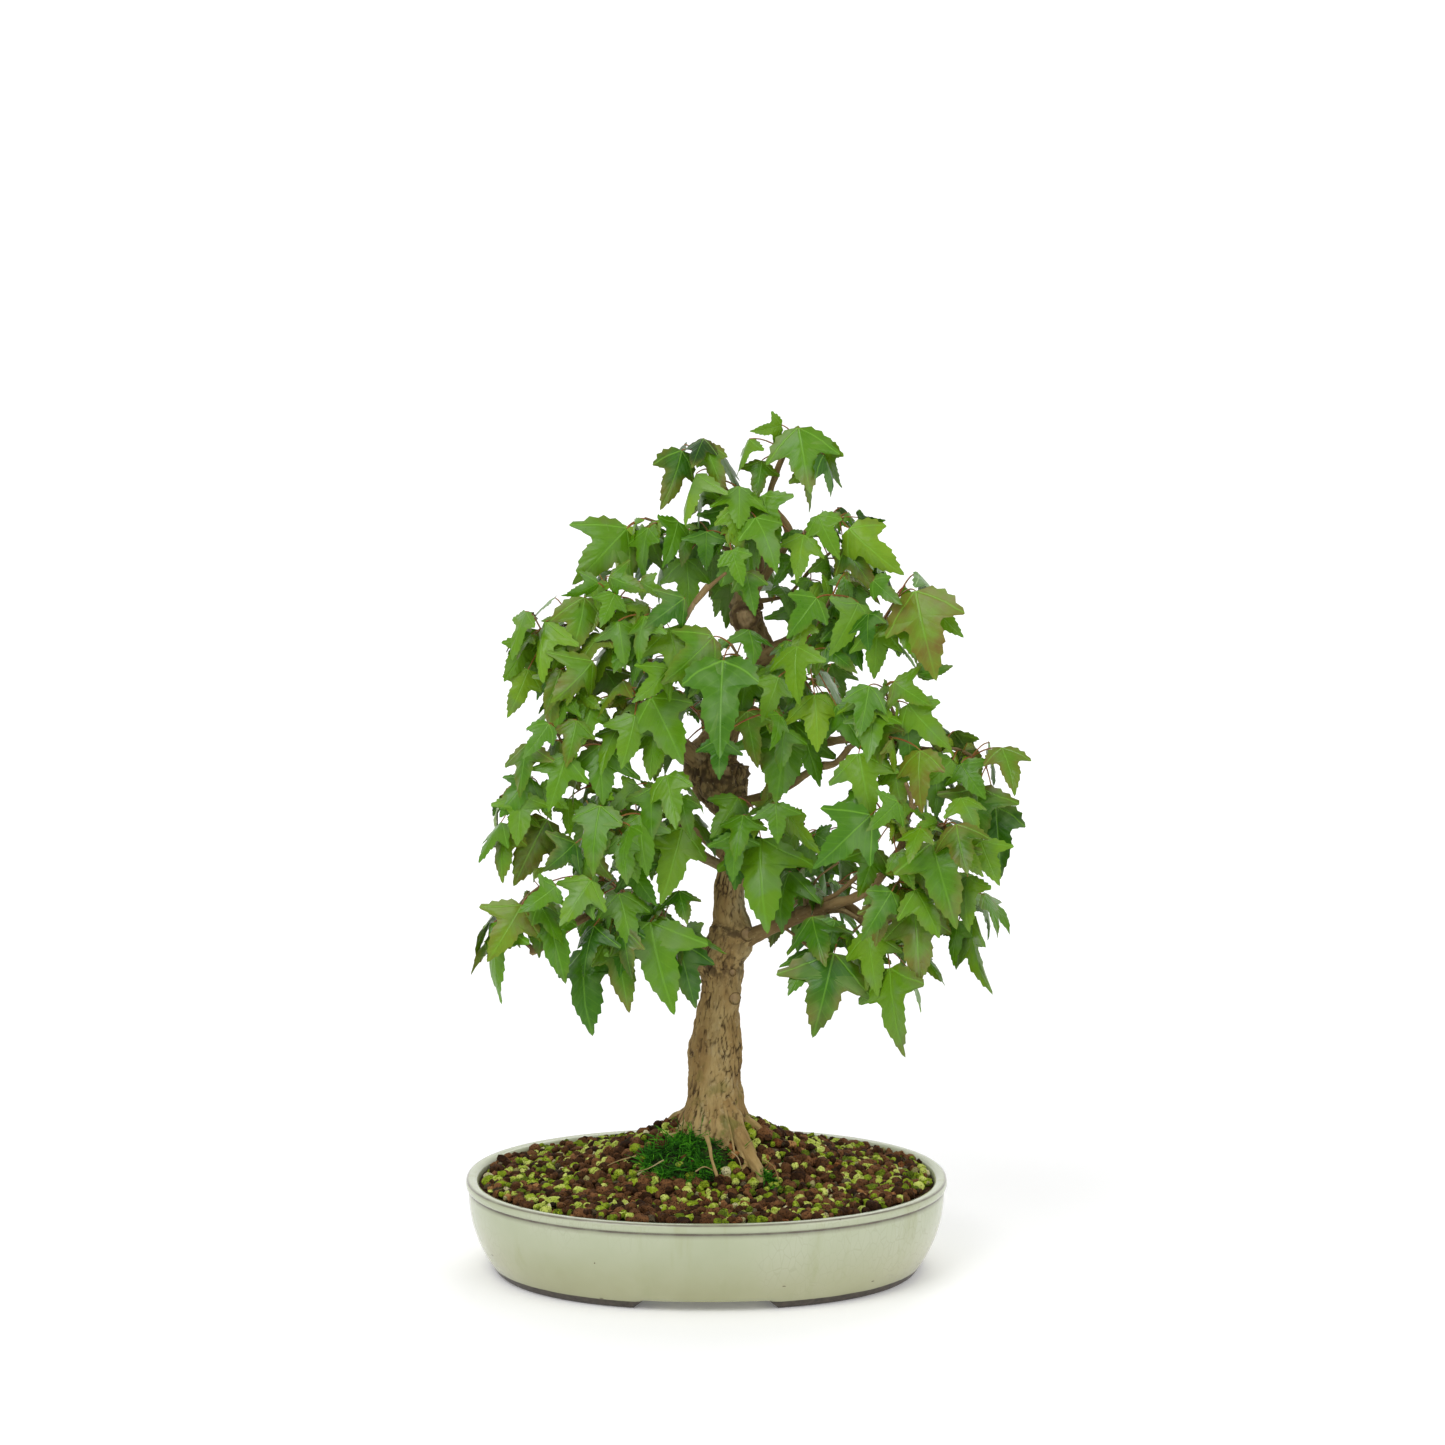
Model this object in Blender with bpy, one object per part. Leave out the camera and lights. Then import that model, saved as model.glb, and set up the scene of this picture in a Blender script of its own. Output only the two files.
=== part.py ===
"""Trident maple bonsai in an oval glazed pot. Metres, +Z up, the front faces -Y.

The tree is set out from the pot's centre on the table, in millimetres. At the end every
piece moves together, so that the origin is the bottom centre of the whole object's box.
"""

import math
import random

import bmesh
import bpy
import numpy as np
from mathutils import Matrix, Vector
from mathutils.bvhtree import BVHTree

MM = 0.001
GAP = 0.3 * MM  # between pieces that touch

# Pot: an oval tray with a rolled lip, a foot ring and two drainage holes.
POT_HALF_LENGTH = 137.6 * MM
POT_HALF_DEPTH = 106 * MM
POT_HEIGHT = 53.5 * MM
POT_OVAL = 2.15  # the exponent of the oval, where 2 is an ellipse
POT_SEGMENTS = 44
RIM_WIDTH = 7.5 * MM
LIP_HEIGHT = 5.9 * MM
LIP_GROOVE = 1.4 * MM
LIP_UNDERCUT = 1.2 * MM  # how far the lip's lower edge rises as it stands out
LIP_ROUNDING = (2 * MM, 1.6 * MM)  # the crest's outer edge, in and down
RIM_SLOPE = (2 * MM, 3 * MM)  # the crest's inner edge, in and down
WALL_FLARE = 16 * MM  # how far the lip stands out past the foot
WALL_STEEPENS = 2.2
WALL_STEPS = (0, 0.1, 0.21, 0.36, 0.56, 0.78, 1)  # shares of the wall's height with a ring of points
CORNER = (9 * MM, 12 * MM)  # the round corner between the inner wall and the floor, in and up
FOOT_HEIGHT = 5 * MM
FOOT_WIDTH = 10 * MM
FOOT_TAPER = 2 * MM  # how far the foot's inner side leans in
FLOOR_UNDER = 5.6 * MM
FLOOR_THICKNESS = 5.5 * MM
ARCH_TOP = 69 * MM  # the cut-out in the foot, front and back
ARCH_BOTTOM = 81 * MM
DRAIN_RADIUS = 11 * MM
DRAIN_SIDES = 16
DRAIN_OFFSET = 58 * MM  # each hole's centre from the pot's centre

# Over each drainage hole: a plastic mesh square, held down by a wire clip.
SCREEN_SIDE = 34 * MM
SCREEN_THICKNESS = 1 * MM
CLIP_WIRE = 1.5 * MM
CLIP_SIDES = 6
CLIP_SPAN = 13 * MM
CLIP_TOE = 6 * MM

# Soil: from the pot's floor to a mound round the trunk.
SOIL_BELOW_RIM = 2.5 * MM
MOUND_HEIGHT = 33 * MM
MOUND_SIDE = 62 * MM
MOUND_FRONT = 36 * MM
MOUND_BACK = 55 * MM
SOIL_RINGS = 7
SOIL_WALL_STEPS = 5

# Moss cushion at the foot of the trunk.
MOSS_CENTRE = (-9 * MM, -20 * MM)
MOSS_HALF = (27 * MM, 17 * MM)
MOSS_HEIGHT = 7 * MM
MOSS_SEGMENTS = 18
MOSS_SHARES = (1, 0.94, 0.75, 0.5, 0.25)  # its rings, as shares of its half sizes
MOSS_CLEARANCE = 1.5 * MM  # over the soil's rings, which are coarser than the moss's

# Trunk: (x, y, z, radius) in mm up its middle line.
TRUNK_SIDES = 14
TRUNK_ROUTE = (
    (5, 8, 66, 21), (5, 8, 78, 18.5), (5, 8, 92, 16.2), (5, 8, 108, 15), (6, 8, 130, 14.2),
    (7, 8, 146, 12), (8, 8, 156, 11.2), (9, 8, 168, 11.8), (9, 8, 179, 12), (12, 8, 190, 11.4),
    (14, 8, 199, 10), (13, 7, 208, 9.2), (13, 5, 220, 8.3), (14, 3, 232, 7.6), (16, 1, 244, 7.2),
    (17, 1, 254, 7.6), (14, 2, 264, 9), (10, 4, 273, 12), (7, 5, 281, 14.5), (5, 8, 291, 13),
    (8, 12, 303, 9.5), (15, 15, 317, 7.6), (23, 14, 332, 7), (30, 12, 345, 7.6), (32, 10, 354, 7.8),
    (27, 8, 364, 7.6), (22, 6, 376, 8.6), (23, 6, 387, 6.8), (28, 6, 404, 4.6), (26, 4, 424, 3.2),
)
# Knobs, collars and healed cuts: (z, azimuth from +X in degrees, height, spread) in mm.
TRUNK_KNOBS = (
    (78, -62, 5, 12), (78, 195, 5, 13), (78, 120, 4, 12), (80, 25, 4, 12), (124, 170, 1.5, 14),
    (158, -50, 2.2, 6), (176, 178, 3.6, 8), (188, 5, 3.6, 9), (196, -45, 2.4, 6), (210, -120, 1.6, 6),
    (272, 0, 2, 8), (284, 10, 3, 9), (290, 185, 4, 9), (300, 160, 3, 8), (282, -90, 2, 8),
    (345, 200, 2, 7), (376, -90, 2.4, 6), (382, 20, 1.8, 6),
)
# Surface roots: (x, y, height above the soil, radius) in mm, from the trunk outwards.
ROOT_SIDES = 8
ROOTS = (
    ((9, 2, 10, 8), (17, -10, 6, 5.6), (24, -21, 2, 4.4), (31, -32, 0, 3.4), (36, -42, -6, 2.2)),
    ((20, -15, 3, 4), (22, -27, 0, 3.2), (23, -40, -6, 2)),
    ((3, 6, 3, 10), (-14, -1, 1, 6), (-28, -8, -1, 4.4), (-40, -14, -6, 3)),
    ((0, 12, 3, 10), (-12, 24, 1, 6), (-26, 36, -1, 4.4), (-38, 46, -6, 3)),
    ((8, 12, 3, 10), (22, 22, 1, 5.4), (36, 32, -1, 4), (48, 40, -6, 2.6)),
    ((7, 8, 3, 10), (26, 5, 1, 4.6), (40, 0, -1, 3.4), (54, -6, -6, 2.4)),
)

# Limbs: name, what it grows from, radius at its root and its end, route in mm.
LIMB_SIDES = 8
LIMBS = (
    ("limb_right_low", "trunk", 6.6, 2.2, ((10, 8, 184), (24, 5, 191), (39, -5, 200), (57, -14, 209),
     (78, -22, 214), (91, -30, 206), (103, -36, 211), (112, -42, 220), (122, -46, 235))),
    ("limb_right_low_riser", "limb_right_low", 3.4, 2.2, ((53, -12, 208), (83, -34, 222), (94, -44, 232),
     (102, -50, 245), (109, -54, 258), (108, -56, 276))),
    ("limb_left_low", "trunk", 4.6, 1.8, ((9, 8, 168), (-5, 3, 177), (-18, -3, 190), (-34, -10, 197),
     (-49, -16, 204), (-62, -20, 210), (-76, -26, 204), (-90, -30, 194), (-98, -32, 190))),
    ("limb_left_mid", "trunk", 3.6, 1.8, ((14, 3, 230), (-1, 1, 238), (-12, -2, 246), (-30, -12, 253),
     (-47, -22, 258), (-60, -28, 259), (-70, -30, 269), (-82, -34, 274))),
    ("limb_left_upper_mid", "trunk", 7.4, 3.4, ((6, 6, 284), (-9, 0, 298), (-23, -8, 307), (-38, -14, 308),
     (-52, -20, 306), (-60, -24, 305), (-67, -28, 310))),
    ("limb_left_up", "trunk", 3.8, 1.7, ((25, 12, 334), (0, 0, 340), (-19, -8, 347), (-33, -14, 352),
     (-42, -18, 352), (-52, -22, 360), (-63, -26, 366))),
    ("limb_right_mid", "trunk", 4.4, 1.8, ((14, 2, 264), (24, -4, 271), (36, -14, 277), (51, -24, 287),
     (62, -30, 295), (72, -34, 298), (80, -38, 308))),
    ("limb_right_upper_mid", "trunk", 4.4, 2.0, ((18, 14, 321), (47, -8, 314), (66, -18, 308), (80, -24, 310),
     (92, -28, 308), (110, -34, 308))),
    ("limb_right_up", "trunk", 6.2, 2.4, ((31, 9, 350), (43, 0, 359), (53, -6, 364), (65, -12, 359),
     (77, -18, 362), (91, -24, 366))),
    ("leader", "trunk", 3.8, 1.5, ((24, 6, 388), (36, 0, 403), (46, -2, 423), (36, -2, 441),
     (39, -2, 456), (43, -2, 466))),
    ("limb_back_low", "trunk", 5, 2, ((13, 7, 214), (14, 28, 226), (8, 46, 232), (-6, 62, 242),
     (-14, 78, 246))),
)

# Leafy shoots: name, what it grows from, twig route in mm, leaves that are placed one by
# one, and how many more fill the shoot by rule. A placed leaf is (x, z) of its blade's
# base, the lean of its blade from straight down towards +X, its length, and its turn.
TWIG_RADIUS = 1.25 * MM
TWIG_TIP = 0.8 * MM
TWIG_STEP = 8 * MM
NODE_HALF = 0.9 * MM
SHOOTS = (
    ("shoot_apex", "leader", ((43, -2, 462), (45, -4, 468), (52, -7, 474)),
     ((51, 483, 10, 31, 0), (66, 480, 5, 28, 50), (42, 484, -75, 15, -20), (31, 464, -10, 20, 0),
      (24, 476, -25, 20, 60)), 6),
    ("shoot_crown_left", "trunk", ((26, 4, 420), (16, 0, 440), (4, -3, 458), (-6, -4, 469)),
     ((0, 473, 20, 25, 0), (-13, 470, -10, 31, -15), (-4, 456, -25, 26, 70), (20, 446, -30, 14, 20)), 6),
    ("shoot_crown_front", "leader", ((44, -2, 428), (30, -16, 436), (16, -26, 434), (12, -32, 424)),
     ((15, 441, 10, 24, -10), (31, 446, 20, 26, 10), (28, 430, -5, 22, 40), (14, 418, 20, 19, 0),
      (46, 425, 15, 14, 20), (22, 405, 15, 22, 0)), 6),
    ("shoot_top_left", "trunk", ((27, 5, 408), (4, 2, 416), (-18, -6, 426), (-34, -10, 432)),
     ((-44, 427, -45, 34, 0), (-32, 428, -15, 26, 50), (-9, 426, -15, 18, 0), (-18, 430, -15, 24, -30)), 7),
    ("shoot_top_right", "leader", ((46, -2, 418), (60, -8, 426), (74, -14, 432)),
     ((62, 435, 25, 24, 0), (79, 428, 45, 35, 10), (77, 417, 35, 26, 0), (48, 410, -30, 17, -20),
      (86, 431, 80, 14, 50)), 6),
    ("shoot_right_top", "trunk", ((22, 6, 382), (46, 0, 388), (58, -4, 402), (72, -10, 414), (80, -18, 414)),
     ((58, 398, -30, 16, 0), (77, 402, 0, 18, 10)), 7),
    ("shoot_left_up_riser", "limb_left_up", ((-42, -18, 353), (-47, -27, 372), (-54, -33, 390),
     (-56, -36, 400)),
     ((-53, 404, 70, 20, 0), (-67, 391, -5, 30, -10), (-50, 394, -25, 18, 0), (-40, 389, -25, 25, 0),
      (-58, 402, -60, 18, -30), (-36, 400, 60, 18, 0)), 6),
    ("shoot_left_up_tip", "limb_left_up", ((-61, -26, 365), (-76, -28, 374), (-92, -28, 372)),
     ((-88, 378, -15, 28, 45), (-76, 371, -25, 20, 0), (-100, 366, -35, 22, 0), (-99, 350, -20, 25, 0)), 6),
    ("shoot_left_up_front", "limb_left_up", ((-19, -8, 347), (-22, -28, 366), (-26, -42, 382)),
     ((-48, 379, 10, 22, 0), (-20, 376, 15, 28, 0), (-17, 398, -65, 24, 0), (-33, 384, -15, 24, 50)), 6),
    ("shoot_left_mid_top", "limb_left_upper_mid", ((-65, -27, 309), (-68, -34, 332), (-70, -38, 352)),
     ((-80, 352, -20, 22, 0), (-54, 358, -40, 30, 0), (-84, 342, -10, 24, 40)), 7),
    ("shoot_left_mid_front", "limb_left_upper_mid", ((-38, -14, 309), (-38, -34, 324), (-38, -46, 338)),
     ((-62, 334, -20, 24, 0), (-39, 328, -10, 26, 0), (-30, 338, 30, 36, 0), (-22, 350, -40, 22, -20)), 6),
    ("shoot_left_riser", "limb_left_mid", ((-30, -12, 254), (-49, -30, 273), (-68, -40, 292),
     (-84, -48, 320)),
     ((-71, 325, -10, 22, 0), (-86, 324, -35, 20, 0), (-77, 306, -15, 28, 0), (-98, 312, -15, 26, 40),
      (-58, 310, 0, 28, 0)), 6),
    ("shoot_left_inner", "limb_left_mid", ((-10, -1, 245), (-18, -24, 268), (-26, -38, 286)),
     ((-27, 291, 0, 28, 0), (-38, 288, -50, 22, 0), (-14, 280, 15, 20, 0), (-13, 261, -15, 36, 0)), 6),
    ("shoot_left_mid_tip", "limb_left_mid", ((-80, -34, 274), (-92, -38, 282), (-104, -42, 282)),
     ((-102, 284, 0, 26, 0), (-92, 287, 55, 18, 0), (-112, 264, -10, 26, 30), (-88, 268, -30, 36, 0)), 6),
    ("shoot_left_mid_low", "limb_left_mid", ((-46, -21, 258), (-50, -40, 262), (-53, -54, 268)),
     ((-56, 277, -20, 33, 0), (-36, 272, 0, 28, 0), (-72, 256, -50, 20, 0), (-43, 240, 35, 22, 0)), 6),
    ("shoot_left_low_tip", "limb_left_low", ((-96, -32, 191), (-106, -38, 204), (-103, -42, 220),
     (-90, -46, 232)),
     ((-81, 234, -55, 22, 0), (-64, 238, -40, 28, 0), (-102, 222, -30, 32, 0), (-88, 218, 15, 36, 0),
      (-118, 210, -5, 38, 60)), 5),
    ("shoot_left_low_front", "limb_left_low", ((-49, -16, 205), (-52, -32, 214), (-54, -46, 216)),
     ((-42, 222, 0, 22, 0), (-62, 210, -20, 24, 45), (-51, 203, 10, 38, 0), (-69, 192, 0, 40, 35)), 5),
    ("shoot_left_low_inner", "limb_left_low", ((-17, -3, 189), (-22, -22, 206), (-25, -34, 214)),
     ((-31, 209, 10, 43, 0), (-15, 193, 15, 30, 0), (-11, 203, 50, 24, 60)), 4),
    ("shoot_front_high", "trunk", ((24, 13, 334), (20, -20, 352), (14, -46, 366)),
     ((15, 365, 0, 45, 0), (7, 370, -45, 32, 0), (23, 346, -15, 22, 20)), 5),
    ("shoot_front_right", "limb_right_up", ((52, -6, 363), (54, -26, 360), (56, -42, 356)),
     ((40, 348, -20, 22, 0), (60, 338, 5, 26, 0), (72, 332, 35, 26, 0), (66, 363, 60, 20, -20)), 6),
    ("shoot_front_mid", "limb_right_upper_mid", ((44, -6, 315), (40, -28, 324), (34, -44, 328)),
     ((45, 322, -5, 40, 0), (8, 314, -5, 20, 0), (22, 330, 0, 32, 20)), 6),
    ("shoot_front_low", "limb_right_mid", ((36, -14, 277), (32, -26, 270), (28, -38, 264)),
     ((18, 278, -30, 25, 0), (31, 254, -5, 43, 0), (46, 268, 35, 24, 40)), 4),
    ("shoot_right_up_inner", "limb_right_up", ((60, -10, 361), (64, -24, 378), (70, -34, 392)),
     ((61, 391, -40, 24, 0), (84, 388, -25, 30, 0), (76, 402, 10, 20, 0)), 6),
    ("shoot_right_up_tip", "limb_right_up", ((89, -24, 365), (98, -34, 378), (106, -40, 392)),
     ((94, 376, 0, 26, 0), (106, 384, 25, 27, 0), (92, 402, 50, 18, 0), (111, 398, 15, 43, 20),
      (122, 389, 45, 24, 0)), 6),
    ("shoot_right_mid_top", "limb_right_upper_mid", ((108, -34, 308), (104, -42, 326), (98, -46, 342)),
     ((89, 345, -10, 25, 0), (103, 347, 55, 22, 0), (111, 334, 40, 30, 0), (116, 350, 100, 18, 20)), 6),
    ("shoot_right_mid_tip", "limb_right_mid", ((80, -38, 306), (88, -46, 314), (98, -52, 316)),
     ((84, 307, 10, 32, 0), (118, 309, -10, 29, 40), (102, 300, 10, 24, 20)), 6),
    ("shoot_right_far", "limb_right_upper_mid", ((106, -33, 308), (124, -36, 306), (140, -36, 306),
     (156, -34, 296)),
     ((136, 302, -50, 20, 0), (141, 300, 30, 20, 0), (151, 286, -5, 31, 0), (162, 273, 5, 36, 20)), 8),
    ("shoot_right_riser_in", "limb_right_low_riser", ((108, -53, 257), (101, -60, 268), (96, -64, 278)),
     ((90, 276, -50, 38, 0), (107, 283, -50, 20, 0), (92, 252, -15, 26, 0), (103, 253, 30, 20, 0)), 5),
    ("shoot_right_riser_out", "limb_right_low_riser", ((109, -55, 262), (123, -60, 267), (140, -62, 267)),
     ((124, 260, 15, 40, 0), (136, 262, 45, 22, 0), (151, 260, 20, 22, 0), (144, 240, -10, 26, 45)), 6),
    ("shoot_right_low_out", "limb_right_low", ((108, -39, 216), (108, -52, 226), (106, -60, 236)),
     ((115, 221, 5, 36, 0), (102, 233, -35, 28, 0), (130, 219, -45, 20, 20)), 5),
    ("shoot_right_low_end", "limb_right_low", ((121, -46, 233), (134, -46, 230), (144, -44, 220)),
     ((140, 213, -15, 22, 50), (146, 214, 5, 38, 60)), 6),
    ("shoot_right_low_under", "limb_right_low", ((62, -16, 210), (66, -28, 203), (74, -40, 200)),
     ((71, 194, -15, 40, 0), (73, 212, -20, 22, 0), (87, 197, 0, 26, 40)), 4),
    ("shoot_right_low_droop", "limb_right_low", ((92, -30, 207), (97, -42, 203), (101, -48, 195)),
     ((90, 206, 5, 30, 20), (102, 188, 0, 44, 55)), 4),
    ("shoot_right_low_sprig", "limb_right_low", ((57, -14, 208), (54, -12, 232), (56, -14, 250)),
     ((52, 256, -60, 15, 0), (61, 256, 65, 16, 0), (57, 252, 10, 15, 0)), 4),
    ("shoot_back_low_left", "limb_back_low", ((-4, 60, 241), (-26, 66, 246), (-48, 66, 250),
     (-66, 60, 250)), (), 13),
    ("shoot_back_low_right", "limb_back_low", ((12, 40, 230), (34, 52, 234), (56, 62, 238), (74, 64, 236)),
     (), 13),
    ("shoot_back_high_left", "trunk", ((6, 8, 298), (-4, 36, 314), (-20, 58, 324), (-40, 70, 322)), (), 13),
    ("shoot_back_high_right", "trunk", ((18, 15, 322), (34, 44, 330), (54, 62, 332), (76, 66, 326)), (), 13),
    ("shoot_back_top", "trunk", ((24, 6, 384), (22, 28, 394), (24, 48, 404), (16, 60, 410)), (), 11),
    ("shoot_back_left_low", "limb_left_low", ((-34, -10, 198), (-42, 14, 208), (-52, 36, 214),
     (-62, 52, 216)), (), 11),
    ("shoot_back_right_low", "limb_right_low", ((39, -5, 201), (50, 16, 208), (66, 34, 214), (82, 46, 216)),
     (), 11),
)

# Leaf: three pointed lobes on a wedge-shaped base, with a raised midrib.
LOBE_ALONG = 0.36  # where the side lobes' tips are along the blade, and the notches
NOTCH_ALONG = 0.47
LOBE_REACH = 0.5  # their distance from the midrib, as a share of the blade's length
NOTCH_REACH = 0.2
MIDRIB = 0.9 * MM
BLADE_SAG = 0.16
LOBE_SAG = 0.07
PETIOLE = 13 * MM
LEAST_SPLAY = 0.42  # how far a stalk turns out from its twig, as a cosine
LEAST_BEND = -0.35  # the sharpest turn from a stalk into its blade, as a cosine
STALK_LIFT = 0.01  # the share of a stalk, next to its twig, that clearances leave out
LEAF_LEAN = 28  # degrees that a placed leaf's tip comes forward
FILL_LENGTH = (20 * MM, 33 * MM)
CLEARANCE = 0.6 * MM
LEAF_REACH = 45 * MM  # leaves whose middles are this much further apart can't meet
STALK_FOOT = (1.1 * MM, 0.7 * MM)  # the blade's first ring: half its width, and its height
OUT_BEFORE_NEAR = 6 * MM  # how much further a start may be if it faces the blade
NUDGE = (4, 12, 4)  # how far a placed leaf may stray, in mm, where its place is taken
TRIES = 70

FRONT = Vector((0, -1, 0))
UP = Vector((0, 0, 1))

COLOURS = {
    "glaze": ((0.66, 0.69, 0.54), 0.25, 0),
    "soil": ((0.12, 0.06, 0.035), 0.95, 0),
    "moss": ((0.05, 0.2, 0.03), 0.9, 0),
    "bark": ((0.3, 0.2, 0.12), 0.85, 0),
    "leaf": ((0.07, 0.24, 0.035), 0.4, 0),
    "plastic": ((0.02, 0.02, 0.02), 0.6, 0),
    "wire": ((0.6, 0.6, 0.6), 0.35, 1),
}


def in_metres(points):
    return [Vector(point[:3]) * MM for point in points]


def mesh_object(name, points, faces, colour):
    mesh = bpy.data.meshes.new(name)
    mesh.from_pydata([tuple(point) for point in points], [], faces)
    shape = bmesh.new()
    shape.from_mesh(mesh)
    bmesh.ops.recalc_face_normals(shape, faces=shape.faces)
    if shape.calc_volume(signed=True) < 0:
        bmesh.ops.reverse_faces(shape, faces=shape.faces)
    shape.to_mesh(mesh)
    shape.free()
    mesh.shade_smooth()
    mesh.set_sharp_from_angle(angle=math.radians(50))
    thing = bpy.data.objects.new(name, mesh)
    bpy.context.scene.collection.objects.link(thing)
    mesh.materials.append(material(name, colour))
    return thing


def material(name, colour):
    paint = bpy.data.materials.new(name)
    paint.use_nodes = True
    surface = paint.node_tree.nodes["Principled BSDF"]
    base, roughness, metallic = COLOURS[colour]
    surface.inputs["Base Color"].default_value = (*base, 1)
    surface.inputs["Roughness"].default_value = roughness
    surface.inputs["Metallic"].default_value = metallic
    return paint


def boolean(target, other, operation):
    """Applies the Boolean at once and removes the other object."""
    modifier = target.modifiers.new(operation, "BOOLEAN")
    modifier.operation = operation
    modifier.solver = "EXACT"
    modifier.object = other
    graph = bpy.context.evaluated_depsgraph_get()
    result = bpy.data.meshes.new_from_object(target.evaluated_get(graph))
    target.modifiers.clear()
    target.data = result
    bpy.data.objects.remove(other)


def largest_body(thing):
    """Drops crumbs that a cut leaves beside the piece itself."""
    shape = bmesh.new()
    shape.from_mesh(thing.data)
    left = set(shape.verts)
    bodies = []
    while left:
        found = {left.pop()}
        front = list(found)
        while front:
            for edge in front.pop().link_edges:
                for vert in edge.verts:
                    if vert not in found:
                        found.add(vert)
                        front.append(vert)
        left -= found
        bodies.append(found)
    bodies.sort(key=len)
    for crumbs in bodies[:-1]:
        bmesh.ops.delete(shape, geom=list(crumbs), context="VERTS")
    shape.to_mesh(thing.data)
    shape.free()


def tree_of(thing):
    shape = bmesh.new()
    shape.from_mesh(thing.data)
    found = BVHTree.FromBMesh(shape)
    shape.free()
    return found


# Tubes.


def smooth_route(points, step):
    """Points about a step apart on a Catmull-Rom curve through the given ones."""
    ends = [points[0] * 2 - points[1], *points, points[-1] * 2 - points[-2]]
    found = []
    for before, start, stop, after in zip(ends, ends[1:], ends[2:], ends[3:]):
        count = max(1, round((stop - start).length / step))
        for i in range(count):
            t = i / count
            found.append(
                start
                + (stop - before) * (t / 2)
                + (before * 2 - start * 5 + stop * 4 - after) * (t * t / 2)
                + (start * 3 - before - stop * 3 + after) * (t * t * t / 2)
            )
    return [*found, points[-1]]


def ring_frames(points):
    """(tangent, across, other) at each point, with no twist from one to the next."""
    frames = []
    across = None
    for i in range(len(points)):
        tangent = (points[min(i + 1, len(points) - 1)] - points[max(i - 1, 0)]).normalized()
        if across is None:
            across = Vector((1, 0, 0)) if abs(tangent.x) < 0.9 else Vector((0, 1, 0))
        across = (across - tangent * across.dot(tangent)).normalized()
        frames.append((tangent, across, tangent.cross(across)))
    return frames


def tube(points, radii, sides, knobs=()):
    """Rings of points round the route. Knobs swell the skin near (z, azimuth)."""
    rings = []
    for point, radius, (_, across, other) in zip(points, radii, ring_frames(points)):
        ring = []
        for k in range(sides):
            angle = 2 * math.pi * k / sides
            out = across * math.cos(angle) + other * math.sin(angle)
            reach = radius
            for height, azimuth, swell, spread in knobs:
                turn = math.atan2(out.y, out.x) - math.radians(azimuth)
                round_by = math.remainder(turn, 2 * math.pi) * radius
                far = math.hypot(point.z - height * MM, round_by) / (spread * MM)
                reach += swell * MM * math.exp(-far * far)
            ring.append(point + out * reach)
        rings.append(ring)
    return rings


def tube_faces(rings, sides):
    """Triangles, so that a solid and its grown cutter bend along the same diagonals, and two caps."""
    faces = []
    for i in range(rings - 1):
        for k in range(sides):
            low, high = i * sides, (i + 1) * sides
            after = (k + 1) % sides
            faces.append((low + k, low + after, high + after))
            faces.append((low + k, high + after, high + k))
    faces.append(tuple(range(sides)))
    faces.append(tuple(range((rings - 1) * sides, rings * sides)))
    return faces


def oval_faces(points, rings):
    """The faces of a stack of oval rings. Each end closes in a fan round its middle, added to points."""
    faces = tube_faces(rings, POT_SEGMENTS)[:-2]
    for first in (0, (rings - 1) * POT_SEGMENTS):
        ring = points[first : first + POT_SEGMENTS]
        points.append(sum(ring, Vector()) / POT_SEGMENTS)
        for k in range(POT_SEGMENTS):
            faces.append((first + k, first + (k + 1) % POT_SEGMENTS, len(points) - 1))
    return faces


def tube_object(name, points, radii, sides, colour, knobs=(), longer=0.0):
    """A capped tube. A cutter is made longer at both ends, as it is thicker all round."""
    ends = [
        points[0] + (points[0] - points[1]).normalized() * longer,
        points[-1] + (points[-1] - points[-2]).normalized() * longer,
    ]
    rings = tube([ends[0], *points[1:-1], ends[1]], radii, sides, knobs)
    return mesh_object(name, [p for ring in rings for p in ring], tube_faces(len(rings), sides), colour)


# Pot, screens and clips.


def oval(half_length, angle):
    """A point of the oval that is this long, with the same setback all round."""
    half_depth = half_length - (POT_HALF_LENGTH - POT_HALF_DEPTH)
    power = 2 / POT_OVAL
    x = math.copysign(abs(math.cos(angle)) ** power, math.cos(angle))
    y = math.copysign(abs(math.sin(angle)) ** power, math.sin(angle))
    return half_length * x, half_depth * y


def pot_wall(height):
    """The wall's outer half-length at a height, a curve that steepens towards the lip."""
    share = min(1, height / (POT_HEIGHT - LIP_HEIGHT))
    return POT_HALF_LENGTH - LIP_GROOVE - WALL_FLARE * (1 - share) ** WALL_STEEPENS


def pot_inside(height):
    """The inner wall's half-length, which meets the floor in a round corner."""
    floor = FLOOR_UNDER + FLOOR_THICKNESS
    corner = 1 - min(1, (height - floor) / CORNER[1])
    return pot_wall(height) - RIM_WIDTH + LIP_GROOVE - CORNER[0] * corner**2


def pot_profile():
    """(half-length, height) from the middle of the underside, out, up, over the lip and in."""
    inner_foot = pot_wall(0) - FOOT_WIDTH
    floor = FLOOR_UNDER + FLOOR_THICKNESS
    lip = POT_HEIGHT - LIP_HEIGHT
    round_in, round_down = LIP_ROUNDING
    slope_in, slope_down = RIM_SLOPE
    outside = [(pot_wall(lip * share), lip * share) for share in WALL_STEPS]
    inside = [(pot_inside(z), z) for z in np.linspace(POT_HEIGHT - slope_down, floor, 6)]
    return [
        (inner_foot - FOOT_TAPER, FLOOR_UNDER), (inner_foot, 0), *outside,
        (POT_HALF_LENGTH, lip + LIP_UNDERCUT), (POT_HALF_LENGTH, POT_HEIGHT - round_down),
        (POT_HALF_LENGTH - round_in, POT_HEIGHT), (POT_HALF_LENGTH - RIM_WIDTH + slope_in, POT_HEIGHT),
        *inside,
    ]


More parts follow.
